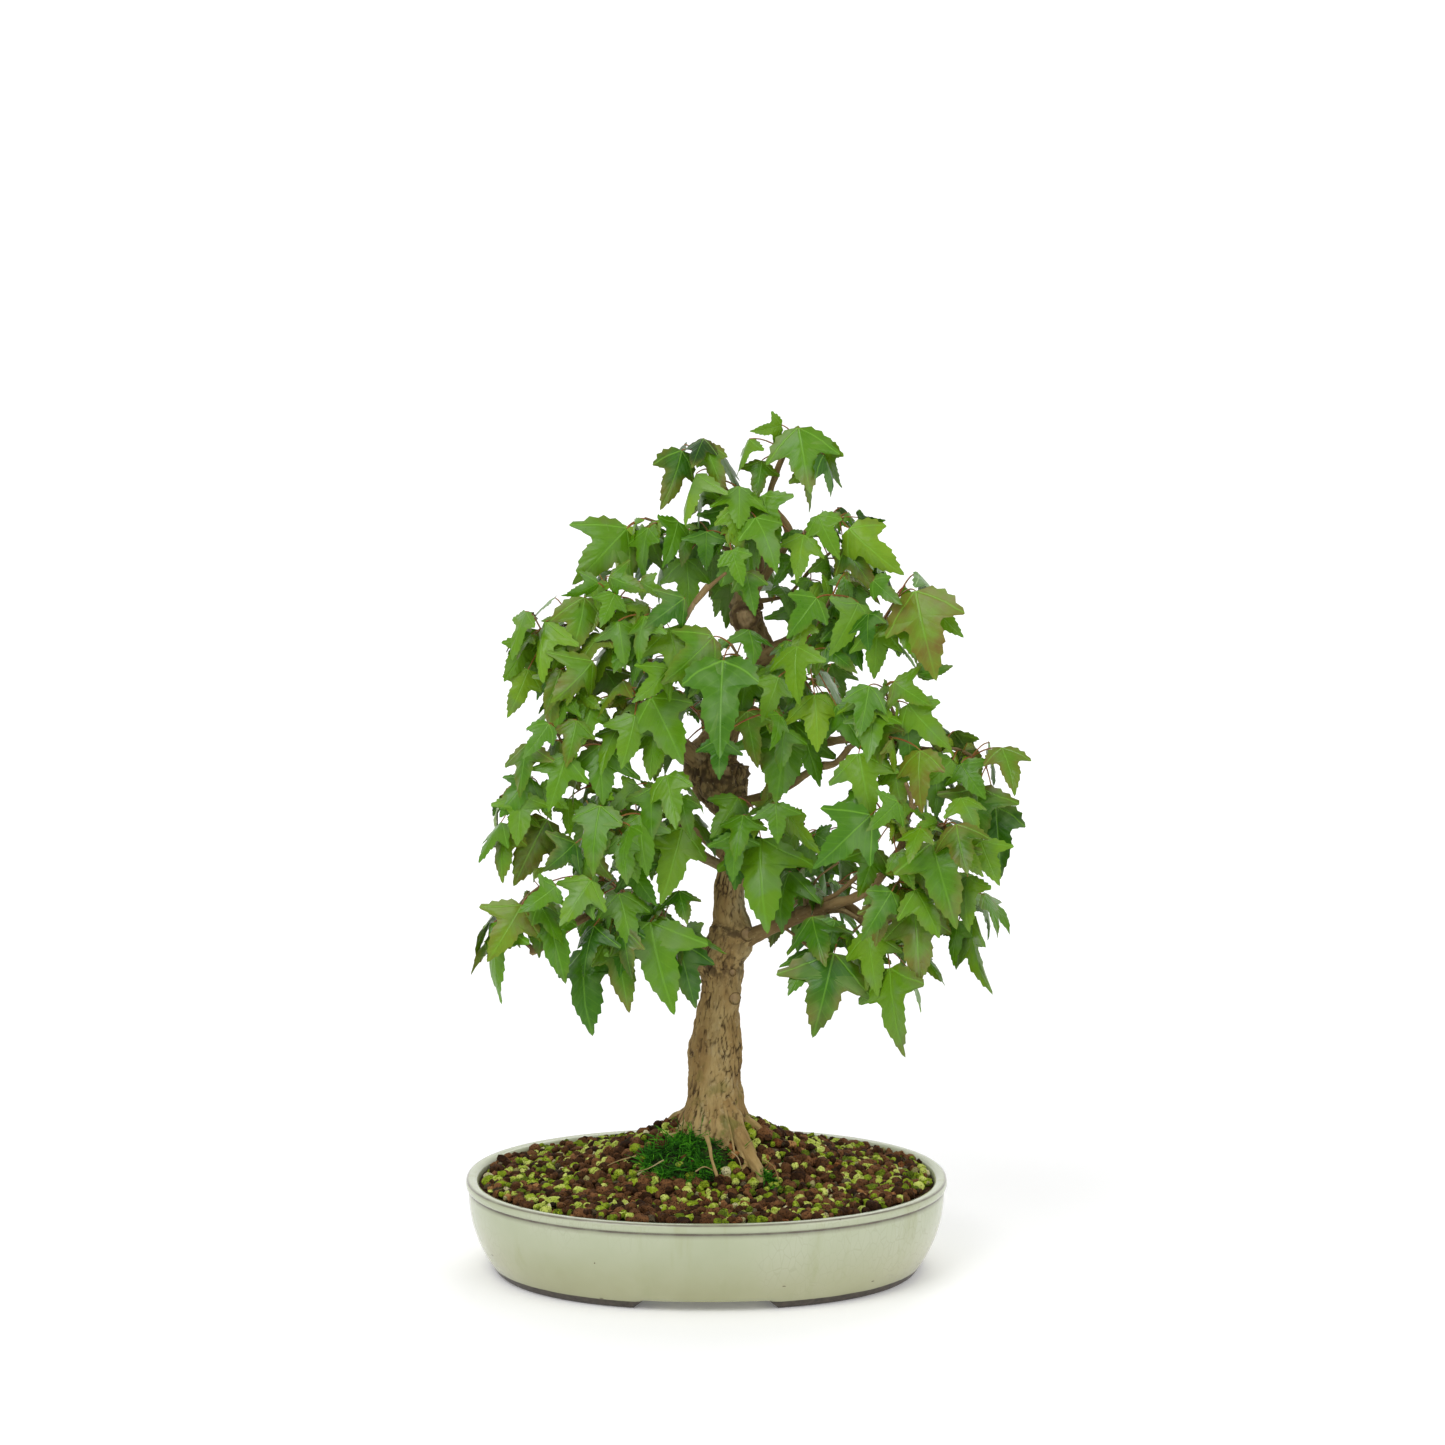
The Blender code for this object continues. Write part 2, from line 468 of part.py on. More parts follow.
def cylinder(radius, low, high, centre):
    """A plain upright cutter."""
    points = [Vector((centre, 0, low)), Vector((centre, 0, high))]
    return tube_object("cutter", points, [radius, radius], DRAIN_SIDES, "glaze")


def prism(outline, depth):
    """An outline of (x, z) pushed through from -depth to depth along Y."""
    count = len(outline)
    points = [Vector((x, y, z)) for y in (-depth, depth) for x, z in outline]
    return mesh_object("cutter", points, tube_faces(2, count), "glaze")


def make_pot():
    points = []
    profile = pot_profile()
    for half_length, z in profile:
        for k in range(POT_SEGMENTS):
            points.append(Vector((*oval(half_length, 2 * math.pi * k / POT_SEGMENTS), z)))
    faces = oval_faces(points, len(profile))
    pot = mesh_object("pot", points, faces, "glaze")
    below = -2 * MM
    flare = (ARCH_BOTTOM - ARCH_TOP) / 2
    low = ARCH_BOTTOM / 2 + flare * -below / FOOT_HEIGHT
    arch = [(-low, below), (low, below), (ARCH_TOP / 2, FOOT_HEIGHT), (-ARCH_TOP / 2, FOOT_HEIGHT)]
    boolean(pot, prism(arch, POT_HALF_DEPTH * 1.2), "DIFFERENCE")
    for side in (-1, 1):
        boolean(pot, cylinder(DRAIN_RADIUS, below, POT_HEIGHT, side * DRAIN_OFFSET), "DIFFERENCE")
    return pot


def square_over_hole(side, half, low, high):
    """A square plate over one drainage hole."""
    corners = ((-half, low), (half, low), (half, high), (-half, high))
    outline = [(side * DRAIN_OFFSET + x, z) for x, z in corners]
    return prism(outline, half)


def make_screen(name, side):
    low = FLOOR_UNDER + FLOOR_THICKNESS + GAP
    screen = square_over_hole(side, SCREEN_SIDE / 2, low, low + SCREEN_THICKNESS)
    screen.name = name
    screen.data.materials[0] = material(name, "plastic")
    boolean(screen, clip("cutter", side, GAP), "DIFFERENCE")


def pocket(side):
    """The space that the soil leaves for a screen and the wire across it."""
    low = FLOOR_UNDER + FLOOR_THICKNESS
    high = low + SCREEN_THICKNESS + CLIP_WIRE + 3 * GAP
    return square_over_hole(side, SCREEN_SIDE / 2 + GAP, low, high)


def clip(name, side, grow):
    """A wire across the mesh, down through the hole and out under the pot's floor."""
    over = FLOOR_UNDER + FLOOR_THICKNESS + 2 * GAP + SCREEN_THICKNESS + CLIP_WIRE / 2
    under = FLOOR_UNDER - GAP - CLIP_WIRE / 2
    half = CLIP_SPAN / 2
    outline = ((-half - CLIP_TOE, under), (-half, under), (-half, over), (half, over), (half, under),
               (half + CLIP_TOE, under))
    points = [Vector((side * DRAIN_OFFSET + x, 0, z)) for x, z in outline]
    return tube_object(name, points, [CLIP_WIRE / 2 + grow] * len(points), CLIP_SIDES, "wire")


def make_screens():
    for side, where in ((-1, "left"), (1, "right")):
        make_screen(f"drain_mesh_{where}", side)
        clip(f"mesh_clip_{where}", side, 0)


# Soil and moss.


def soil_height(x, y):
    """The mound: highest at the trunk, steep in front, and level along the rim."""
    trunk_x, trunk_y = TRUNK_ROUTE[0][0] * MM, TRUNK_ROUTE[0][1] * MM
    slope = MOUND_FRONT if y < trunk_y else MOUND_BACK
    far = math.hypot((x - trunk_x) / MOUND_SIDE, (y - trunk_y) / slope)
    half_length, half_depth = oval_halves()
    edge = min(1, (abs(x / half_length) ** POT_OVAL + abs(y / half_depth) ** POT_OVAL) ** (1 / POT_OVAL))
    return POT_HEIGHT - SOIL_BELOW_RIM + MOUND_HEIGHT * math.exp(-far * far) * (1 - edge**4)


def oval_halves():
    half_length = pot_inside(POT_HEIGHT - SOIL_BELOW_RIM) - GAP
    return half_length, half_length - (POT_HALF_LENGTH - POT_HALF_DEPTH)


def make_soil(trunk_cutter):
    floor = FLOOR_UNDER + FLOOR_THICKNESS
    top = POT_HEIGHT - SOIL_BELOW_RIM
    rows = [(pot_inside(z) - GAP * 2, z + GAP) for z in np.linspace(floor, top - GAP, SOIL_WALL_STEPS)]
    points = []
    for half_length, z in rows:
        for k in range(POT_SEGMENTS):
            points.append(Vector((*oval(half_length, 2 * math.pi * k / POT_SEGMENTS), z)))
    half_length, half_depth = oval_halves()
    for i in range(1, SOIL_RINGS):
        share = 1 - i / SOIL_RINGS
        for k in range(POT_SEGMENTS):
            x, y = oval(half_length, 2 * math.pi * k / POT_SEGMENTS)
            points.append(Vector((x * share, y * share, soil_height(x * share, y * share))))
    faces = oval_faces(points, len(rows) + SOIL_RINGS - 1)
    soil = mesh_object("soil", points, faces, "soil")
    boolean(soil, trunk_cutter, "DIFFERENCE")
    for side in (-1, 1):
        boolean(soil, pocket(side), "DIFFERENCE")
    largest_body(soil)
    return soil


def make_moss(trunk_cutter):
    """A low cushion that follows the soil under it."""
    points = []
    faces = []
    for lift in (0, 1):
        for share in MOSS_SHARES:
            for k in range(MOSS_SEGMENTS):
                angle = 2 * math.pi * k / MOSS_SEGMENTS
                x = MOSS_CENTRE[0] + MOSS_HALF[0] * share * math.cos(angle)
                y = MOSS_CENTRE[1] + MOSS_HALF[1] * share * math.sin(angle)
                rise = MOSS_HEIGHT * (1 - share**4) if lift else 0
                level = soil_height(x, y) + MOSS_CLEARANCE
                points.append(Vector((x, y, level + (GAP if lift else 0) + rise)))
    half = len(MOSS_SHARES) * MOSS_SEGMENTS
    for i in range(len(MOSS_SHARES) - 1):
        for k in range(MOSS_SEGMENTS):
            after = (k + 1) % MOSS_SEGMENTS
            low = i * MOSS_SEGMENTS
            high = low + MOSS_SEGMENTS
            for start in (0, half):
                faces.append((start + low + k, start + low + after, start + high + after, start + high + k))
    for k in range(MOSS_SEGMENTS):
        after = (k + 1) % MOSS_SEGMENTS
        faces.append((k, after, half + after, half + k))
    inner = (len(MOSS_SHARES) - 1) * MOSS_SEGMENTS
    faces.append(tuple(range(inner, inner + MOSS_SEGMENTS)))
    faces.append(tuple(range(half + inner, half + inner + MOSS_SEGMENTS)))
    moss = mesh_object("moss", points, faces, "moss")
    boolean(moss, trunk_cutter, "DIFFERENCE")
    largest_body(moss)
    return moss


# Trunk and limbs.


def make_trunk(name, grow):
    route = in_metres(TRUNK_ROUTE)
    radii = [row[3] * MM + grow for row in TRUNK_ROUTE]
    trunk = tube_object(name, route, radii, TRUNK_SIDES, "bark", TRUNK_KNOBS, grow)
    for root in ROOTS:
        points = [Vector((x * MM, y * MM, soil_height(x * MM, y * MM) + lift * MM)) for x, y, lift, _ in root]
        radii = [row[3] * MM + grow for row in root]
        boolean(trunk, tube_object("root", points, radii, ROOT_SIDES, "bark", (), grow), "UNION")
    return trunk


def make_limb(row, grow=0.0):
    name, _, thick, thin, route = row
    points = in_metres(route)
    count = len(points)
    radii = [(thick + (thin - thick) * math.sqrt(i / (count - 1))) * MM + grow for i in range(count)]
    return tube_object("cutter" if grow else name, points, radii, LIMB_SIDES, "bark", (), grow)


def make_limbs():
    rows = {row[0]: row for row in LIMBS}
    made = {}
    for row in LIMBS:
        limb = make_limb(row)
        parent = row[1]
        cutter = make_trunk("cutter", GAP) if parent == "trunk" else make_limb(rows[parent], GAP)
        boolean(limb, cutter, "DIFFERENCE")
        largest_body(limb)
        made[row[0]] = limb
    return made


# Leafy shoots.


def nearest_on(route, point):
    """The point of a route's middle line that is nearest."""
    found = []
    for start, stop in zip(route, route[1:]):
        along = stop - start
        share = min(1, max(0, (point - start).dot(along) / along.length_squared))
        found.append(start + along * share)
    return min(found, key=lambda spot: (spot - point).length)


class Twig:
    """A four-sided twig with short segments where leaves can start, one on each side."""

    def __init__(self, route, parent_route, parent_tree):
        points = in_metres(route)
        points[0] = nearest_on(in_metres(parent_route), points[0])
        aim = (points[1] - points[0]).normalized()
        hit, normal, _, _ = parent_tree.ray_cast(points[0], aim)
        steep = max(0.35, abs(normal.dot(aim)))
        clear = GAP * 1.3 / steep + TWIG_RADIUS * math.sqrt(1 - steep * steep) / steep
        points[0] = hit + aim * clear
        line = smooth_route(points, TWIG_STEP)
        frames = ring_frames(line)
        self.rings = []
        self.nodes = []
        last = len(line) - 1
        for i, point in enumerate(line):
            tangent, across, other = frames[i]
            radius = TWIG_RADIUS + (TWIG_TIP - TWIG_RADIUS) * i / last
            ahead = (NODE_HALF,) if i == 0 else (-NODE_HALF, NODE_HALF)
            if i == 0:
                self.rings.append(self.ring(point, across, other, radius))
                continue
            for shift in ahead:
                self.rings.append(self.ring(point + tangent * shift, across, other, radius))
            self.nodes.append({"at": point, "tangent": tangent, "ring": len(self.rings) - 2, "taken": set()})
        self.leaves = []

    @staticmethod
    def ring(point, across, other, radius):
        found = []
        for k in range(4):
            angle = math.pi / 2 * k
            found.append(point + (across * math.cos(angle) + other * math.sin(angle)) * radius)
        return found

    def side(self, node, k):
        """The start triangle of side k at a node, and the way that side faces."""
        low, high = self.rings[node["ring"]], self.rings[node["ring"] + 1]
        corners = (low[k], low[(k + 1) % 4], high[(k + 1) % 4])
        middle = (low[k] + low[(k + 1) % 4]) / 2
        return corners, (middle - (low[0] + low[2]) / 2).normalized()

    def tree(self):
        points = [p for ring in self.rings for p in ring]
        return BVHTree.FromPolygons(points, tube_faces(len(self.rings), 4))


def leaf_rings(base, stalk, along, face, length, sag):
    """The rings (left, midrib, right) of a blade and its tip. The first halves the stalk's bend."""
    across = along.cross(face).normalized()
    droop = face * -length
    bend = (stalk + along).normalized()
    level = (across - bend * across.dot(bend)).normalized()
    wide, high = STALK_FOOT
    rings = [[base - level * wide, base + level.cross(bend) * high, base + level * wide]]
    for share, reach, extra in ((LOBE_ALONG, LOBE_REACH, LOBE_SAG), (NOTCH_ALONG, NOTCH_REACH, 0)):
        middle = base + along * length * share + droop * sag * share**2
        edge = middle + droop * extra
        rings.append([
            edge - across * length * reach,
            middle + face * MIDRIB,
            edge + across * length * reach,
        ])
    rings.append([base + along * length + droop * sag])
    return rings


def leaf_faces(ends):
    """Triangles between rings of three and the tip, as (ring, corner) pairs."""
    faces = []
    for i in range(ends - 2):
        for k in range(3):
            after = (k + 1) % 3
            faces.append(((i, k), (i, after), (i + 1, k)))
            faces.append(((i, after), (i + 1, after), (i + 1, k)))
    for k in range(3):
        faces.append(((ends - 2, k), (ends - 2, (k + 1) % 3), (ends - 1, 0)))
    return faces


def start_ring(corners, out, first):
    """The start triangle, turned so that its corners line up with the blade's first ring."""
    order = list(corners)
    if (corners[1] - corners[0]).cross(corners[2] - corners[0]).dot(out) < 0:
        order.reverse()
    turns = [order[i:] + order[:i] for i in range(3)]
    return min(turns, key=lambda turn: sum((a - b).length for a, b in zip(turn, first)))


def leaf_tree(rings):
    """(tree, points, whether it crosses itself) of a leaf's skin."""
    index = {}
    points = []
    for i, ring in enumerate(rings):
        for k, point in enumerate(ring):
            index[i, k] = len(points)
            points.append(point)
    faces = [tuple(index[corner] for corner in face) for face in leaf_faces(len(rings))]
    tree = BVHTree.FromPolygons(points, faces)
    crossed = any(not set(faces[a]) & set(faces[b]) for a, b in tree.overlap(tree))
    return tree, points, crossed


def lifted(rings):
    """The leaf just clear of the twig's skin that it grows from."""
    stalk = [a.lerp(b, STALK_LIFT) for a, b in zip(rings[0], rings[1])]
    return [stalk, *rings[1:]]


def turned(vector, axis, degrees):
    return Matrix.Rotation(math.radians(degrees), 3, axis) @ vector


class Foliage:
    """Finds each leaf a free place, close to where it is wanted."""

    def __init__(self, wood_trees):
        self.chance = random.Random(25)
        self.wood = wood_trees
        self.placed = []

    def free(self, tree, points):
        for other in self.wood:
            if tree.overlap(other):
                return False
        middle = sum(points, Vector()) / len(points)
        for other, centre, reach in self.placed:
            if (centre - middle).length > reach + LEAF_REACH:
                continue
            if tree.overlap(other):
                return False
            for point in points[3:]:
                if other.find_nearest(point, CLEARANCE)[0]:
                    return False
        return True

    def try_leaf(self, twig, node, k, base, along, face, length):
        corners, out = twig.side(node, k)
        stalk = (base - sum(corners, Vector()) / 3).normalized()
        if stalk.dot(out) < LEAST_SPLAY or stalk.dot(along) < LEAST_BEND:
            return False
        rings = leaf_rings(base, stalk, along, face, length, BLADE_SAG * self.chance.uniform(0.6, 1.4))
        rings = [start_ring(corners, out, rings[0]), *rings]
        if leaf_tree(rings)[2]:
            return False
        tree, points, _ = leaf_tree(lifted(rings))
        if not self.free(tree, points):
            return False
        middle = sum(points, Vector()) / len(points)
        reach = max((point - middle).length for point in points)
        self.placed.append((tree, middle, reach))
        twig.leaves.append((node["ring"], k, rings))
        node["taken"].add(k)
        return True

    def openings(self, twig, target):
        """Free sides of the twig's nodes, the nearest to the target first."""
        found = []
        for node in twig.nodes:
            for k in range(4):
                if k not in node["taken"]:
                    _, out = twig.side(node, k)
                    way = target - node["at"]
                    far = way.length - OUT_BEFORE_NEAR * out.dot(way.normalized())
                    found.append((far, node, k))
        found.sort(key=lambda row: row[0])
        return [(node, k) for _, node, k in found]

    def place(self, twig, row):
        """A leaf at a chosen place in the front view."""
        x, z, lean, length, turn = row
        chance = self.chance
        flat = Vector((x * MM, 0, z * MM))
        near = min(twig.nodes, key=lambda node: ((node["at"] - flat) * Vector((1, 0, 1))).length)
        sideways = Vector((x * MM - near["at"].x, 0, z * MM - near["at"].z)).length
        forward = math.sqrt(max((4 * MM) ** 2, PETIOLE**2 - sideways**2))
        for attempt in range(TRIES):
            loose = attempt / TRIES
            nudge = Vector([chance.gauss(0, 1) * loose * size * MM for size in NUDGE])
            base = Vector((x * MM, near["at"].y - forward, z * MM)) + nudge
            tilt = LEAF_LEAN + chance.uniform(-14, 14) * (0.4 + loose)
            down = math.radians(lean + chance.uniform(-12, 12) * loose)
            ahead = math.radians(tilt)
            side = math.sin(down) * math.cos(ahead)
            along = Vector((side, -math.sin(ahead), -math.cos(down) * math.cos(ahead)))
            viewed = FRONT - along * FRONT.dot(along)
            face = turned(viewed.normalized(), along, turn + chance.uniform(-18, 18) * (0.3 + loose))
            size = length * MM / math.cos(ahead) * (1 - 0.12 * loose)
            for node, k in self.openings(twig, base)[:4]:
                if self.try_leaf(twig, node, k, base, along, face.normalized(), size):
                    return True
        return False

    def fill(self, twig, wanted):
        """Leaves by rule: stalks off each side of the twig, blades that hang outwards."""
        chance = self.chance
        made = 0
        for _ in range(TRIES * wanted):
            if made == wanted:
                break
            places = [(node, k) for node in twig.nodes for k in range(4) if k not in node["taken"]]
            if not places:
                break
            node, k = chance.choice(places)
            _, out = twig.side(node, k)
            stalk = out + node["tangent"] * chance.uniform(0.1, 0.9) + UP * chance.uniform(-0.1, 0.6)
            stalk.normalize()
            base = node["at"] + stalk * chance.uniform(0.85, 1.5) * PETIOLE
            radial = Vector((base.x, base.y, 0)).normalized()
            viewed = FRONT if base.y < 25 * MM else -FRONT
            heading = stalk * Vector((1, 1, 0)) + radial * 0.5 + viewed * 0.5
            heading = turned(heading.normalized(), UP, chance.uniform(-40, 40)).normalized()
            hang = math.radians(chance.uniform(30, 78))
            along = heading * math.cos(hang) - UP * math.sin(hang)
            face = turned(heading * math.sin(hang) + UP * math.cos(hang), along, chance.gauss(0, 20))
            if self.try_leaf(twig, node, k, base, along, face.normalized(), chance.uniform(*FILL_LENGTH)):
                made += 1
        return made


def shoot_object(name, twig):
    """One closed skin: the twig's sides, opened where a leaf's stalk starts."""
    points = [p for ring in twig.rings for p in ring]
    starts = {(ring, k): rings for ring, k, rings in twig.leaves}
    faces = []
    for i in range(len(twig.rings) - 1):
        for k in range(4):
            a, b = i * 4 + k, i * 4 + (k + 1) % 4
            c, d = b + 4, a + 4
            faces.append((a, c, d))
            if (i, k) not in starts:
                faces.append((a, b, c))
                continue
            rings = starts[i, k]
            corner = {}
            for spot in (a, b, c):
                turn = min(range(3), key=lambda j: (rings[0][j] - points[spot]).length)
                corner[0, turn] = spot
            for n, ring in enumerate(rings[1:], 1):
                for j, point in enumerate(ring):
                    corner[n, j] = len(points)
                    points.append(point)
            faces += [tuple(corner[spot] for spot in face) for face in leaf_faces(len(rings))]
    last = (len(twig.rings) - 1) * 4
    faces.append((0, 1, 2, 3))
    faces.append((last, last + 1, last + 2, last + 3))
    return mesh_object(name, points, faces, "leaf")


def make_shoots(trunk, limbs, others):
    trees = {"trunk": tree_of(trunk), **{name: tree_of(limb) for name, limb in limbs.items()}}
    routes = {"trunk": TRUNK_ROUTE, **{row[0]: row[4] for row in LIMBS}}
    twigs = {}
    for name, parent, route, _, _ in SHOOTS:
        twigs[name] = Twig(route, routes[parent], trees[parent])
    wood = [*trees.values(), *(tree_of(other) for other in others), *(twig.tree() for twig in twigs.values())]
    foliage = Foliage(wood)
    for name, _, _, leaves, _ in SHOOTS:
        for row in leaves:
            if not foliage.place(twigs[name], row):
                print("no free place for the leaf", row, "of", name)
    for name, _, _, _, wanted in SHOOTS:
        foliage.fill(twigs[name], wanted)
    for name, twig in twigs.items():
        shoot_object(name, twig)
    print(len(foliage.placed), "leaves")


def centre_on_origin():
    corners = []
    for thing in bpy.data.objects:
        found = np.empty(len(thing.data.vertices) * 3)
        thing.data.vertices.foreach_get("co", found)
        corners += [found.reshape(-1, 3).min(axis=0), found.reshape(-1, 3).max(axis=0)]
    low, high = np.min(corners, axis=0), np.max(corners, axis=0)
    shift = Vector((-(low[0] + high[0]) / 2, -(low[1] + high[1]) / 2, -low[2]))
    for thing in bpy.data.objects:
        thing.data.transform(Matrix.Translation(shift))
    print("moved by", [round(part / MM, 2) for part in shift], "mm; size", (high - low) / MM)


def main():
    for thing in list(bpy.data.objects):
        bpy.data.objects.remove(thing)
    pot = make_pot()
    make_screens()
    trunk = make_trunk("trunk", 0)
    soil = make_soil(make_trunk("cutter", GAP))
    moss = make_moss(make_trunk("cutter", GAP))
    limbs = make_limbs()
    make_shoots(trunk, limbs, (pot, soil, moss))
    centre_on_origin()


main()
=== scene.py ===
# A trident maple bonsai in a celadon tray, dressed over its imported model.
# Lengths in the dictionaries are millimetres from the pot's middle on the table.

import math

import bmesh
import bpy
import numpy as np
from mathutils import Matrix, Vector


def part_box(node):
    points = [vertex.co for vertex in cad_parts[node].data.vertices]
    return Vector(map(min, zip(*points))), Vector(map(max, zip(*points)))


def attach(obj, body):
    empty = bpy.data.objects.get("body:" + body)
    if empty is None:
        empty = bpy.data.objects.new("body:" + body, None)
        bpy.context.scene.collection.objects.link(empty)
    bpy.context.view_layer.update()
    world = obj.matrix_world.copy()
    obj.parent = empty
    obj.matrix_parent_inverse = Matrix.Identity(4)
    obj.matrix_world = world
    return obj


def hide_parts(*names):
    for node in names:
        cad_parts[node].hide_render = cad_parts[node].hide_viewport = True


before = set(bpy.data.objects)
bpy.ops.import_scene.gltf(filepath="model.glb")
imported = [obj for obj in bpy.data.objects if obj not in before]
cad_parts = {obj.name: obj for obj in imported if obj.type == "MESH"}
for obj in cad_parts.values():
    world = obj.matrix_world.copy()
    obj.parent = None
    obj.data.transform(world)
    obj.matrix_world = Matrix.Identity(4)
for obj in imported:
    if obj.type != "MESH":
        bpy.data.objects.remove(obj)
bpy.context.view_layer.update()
mm = 0.001
chance = np.random.default_rng(25)
potLow, potHigh = (np.array(corner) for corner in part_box("pot"))
potMiddle = np.array([(potLow[0] + potHigh[0]) / 2, (potLow[1] + potHigh[1]) / 2, 0])


# Arrays and meshes


def unit(vectors):
    return vectors / np.maximum(np.linalg.norm(vectors, axis=-1, keepdims=True), 1e-12)


def placed(points):
    # From millimetres round the pot's middle to metres in the frame.
    return np.asarray(points, float) * mm + potMiddle


def lattice(points, seed):
    # A fixed random number in -1..1 for each whole-number point.
    cell = points.astype(np.int64)
    mixed = cell[..., 0] * 73856093 ^ cell[..., 1] * 19349663 ^ cell[..., 2] * 83492791 ^ seed * 2654435
    mixed = (mixed ^ (mixed >> 13)) * 1274126177
    return ((mixed ^ (mixed >> 16)) & 65535) / 32767.5 - 1


def smoothNoise(points, seed=0):
    # Value noise: the eight lattice numbers round a point, blended with 3t^2 - 2t^3.
    low = np.floor(points)
    t = points - low
    t = t * t * (3 - 2 * t)
    total = 0
    for corner in np.ndindex(2, 2, 2):
        weight = np.prod(np.where(corner, t, 1 - t), axis=-1)
        total = total + weight * lattice(low + corner, seed)
    return total


def roughNoise(points, seed=0, octaves=3):
    # Octaves of value noise, each half as wide and half as strong.
    return sum(smoothNoise(points * 2**k, seed + k) / 2**k for k in range(octaves))


def plates(points, seed=0):
    # Distance to the nearest and second nearest of one jittered point per cell, and its number.
    cell = np.floor(points)
    near = np.full(points.shape[:-1], 9.0)
    second = near.copy()
    number = np.zeros_like(near)
    for step in np.ndindex(3, 3, 3):
        corner = cell + np.array(step) - 1
        jitter = np.stack([lattice(corner, seed + k) for k in range(3)], -1) * 0.45 + 0.5
        far = np.linalg.norm(corner + jitter - points, axis=-1)
        closer = far < near
        second = np.where(closer, near, np.minimum(second, far))
        number = np.where(closer, lattice(corner, seed + 7), number)
        near = np.where(closer, far, near)
    return near, second, number


def smoothPath(route, step):
    # A Catmull-Rom curve through the rows of a route, read at even steps of its length.
    rows = np.asarray(route, float)
    ends = np.vstack([2 * rows[0] - rows[1], rows, 2 * rows[-1] - rows[-2]])
    t = np.linspace(0, len(rows) - 1, 16 * len(rows))
    i = np.minimum(t.astype(int), len(rows) - 2)
    f = (t - i)[:, None]
    a, b, c, d = (ends[i + k] for k in range(4))
    fine = b + (c - a) * f / 2 + (a * 2 - b * 5 + c * 4 - d) * f**2 / 2 + (b * 3 - a - c * 3 + d) * f**3 / 2
    along = np.append(0, np.cumsum(np.linalg.norm(np.diff(fine[:, :3], axis=0), axis=1)))
    even = np.linspace(0, along[-1], max(4, round(along[-1] / step)))
    return np.stack([np.interp(even, along, column) for column in fine.T], 1), even


def ringFaces(rings, sides):
    # Quads between rings that close on themselves.
    low = np.arange((rings - 1) * sides).reshape(rings - 1, sides)
    after = np.roll(low, -1, axis=1)
    return np.stack([low, after, after + sides, low + sides], -1).reshape(-1, 4)


def closedRings(rings):
    # A stack of rings as one closed skin, with a fan of triangles over each end. The last ring is on top.
    count, sides = rings.shape[:2]
    k = np.arange(sides)
    after = np.roll(k, -1)
    last = (count - 1) * sides
    fans = np.concatenate([np.stack([np.full(sides, count * sides), after, k], 1),
                           np.stack([last + k, last + after, np.full(sides, count * sides + 1)], 1)])
    points = np.concatenate([rings.reshape(-1, 3), [rings[0].mean(0), rings[-1].mean(0)]])
    return points, [ringFaces(count, sides), fans]


def ringFrames(paths):
    # Along, across and up at each point of each path. Across starts from the way the path turns least.
    tangent = unit(np.gradient(paths, axis=1))
    level = np.linalg.eigh(np.swapaxes(tangent, 1, 2) @ tangent)[1][:, :, 0]
    level = level * np.where(level.sum(-1, keepdims=True) < 0, -1, 1)
    across = unit(level[:, None] - tangent * (tangent @ level[..., None]))
    return tangent, across, np.cross(tangent, across)


def tubes(paths, radii, sides):
    # Skins carried along paths: path + (across cos a + up sin a) radius. Both ends close in a pole.
    count, rings = paths.shape[:2]
    tangent, across, other = ringFrames(paths)
    angle = np.linspace(0, 2 * math.pi, sides, endpoint=False)[:, None]
    out = across[:, :, None] * np.cos(angle) + other[:, :, None] * np.sin(angle)
    radii = np.broadcast_to(radii if np.ndim(radii) == 3 else np.asarray(radii)[..., None], (count, rings, sides))
    skin = paths[:, :, None] + out * radii[..., None]
    tips = skin[:, -1].mean(1) + tangent[:, -1] * radii[:, -1].mean(1)[:, None] * 0.6
    points = np.concatenate([skin.reshape(count, -1, 3), skin[:, :1].mean(2), tips[:, None]], axis=1)
    k = np.arange(sides)
    after = (k + 1) % sides
    last = (rings - 1) * sides
    fans = np.concatenate([
        np.stack([np.full(sides, rings * sides), after, k], 1),
        np.stack([last + k, last + after, np.full(sides, rings * sides + 1)], 1),
    ])
    starts = (np.arange(count) * (rings * sides + 2))[:, None, None]
    return (points.reshape(-1, 3), (starts + ringFaces(rings, sides)).reshape(-1, 4),
            (starts + fans).reshape(-1, 3))


def joined(parts):
    # Several (points, faces, faces...) as one, with the face numbers shifted.
    shift = 0
    points = []
    faces = []
    for part in parts:
        points.append(part[0])
        faces += [face + shift for face in part[1:]]
        shift += len(part[0])
    return np.concatenate(points), faces


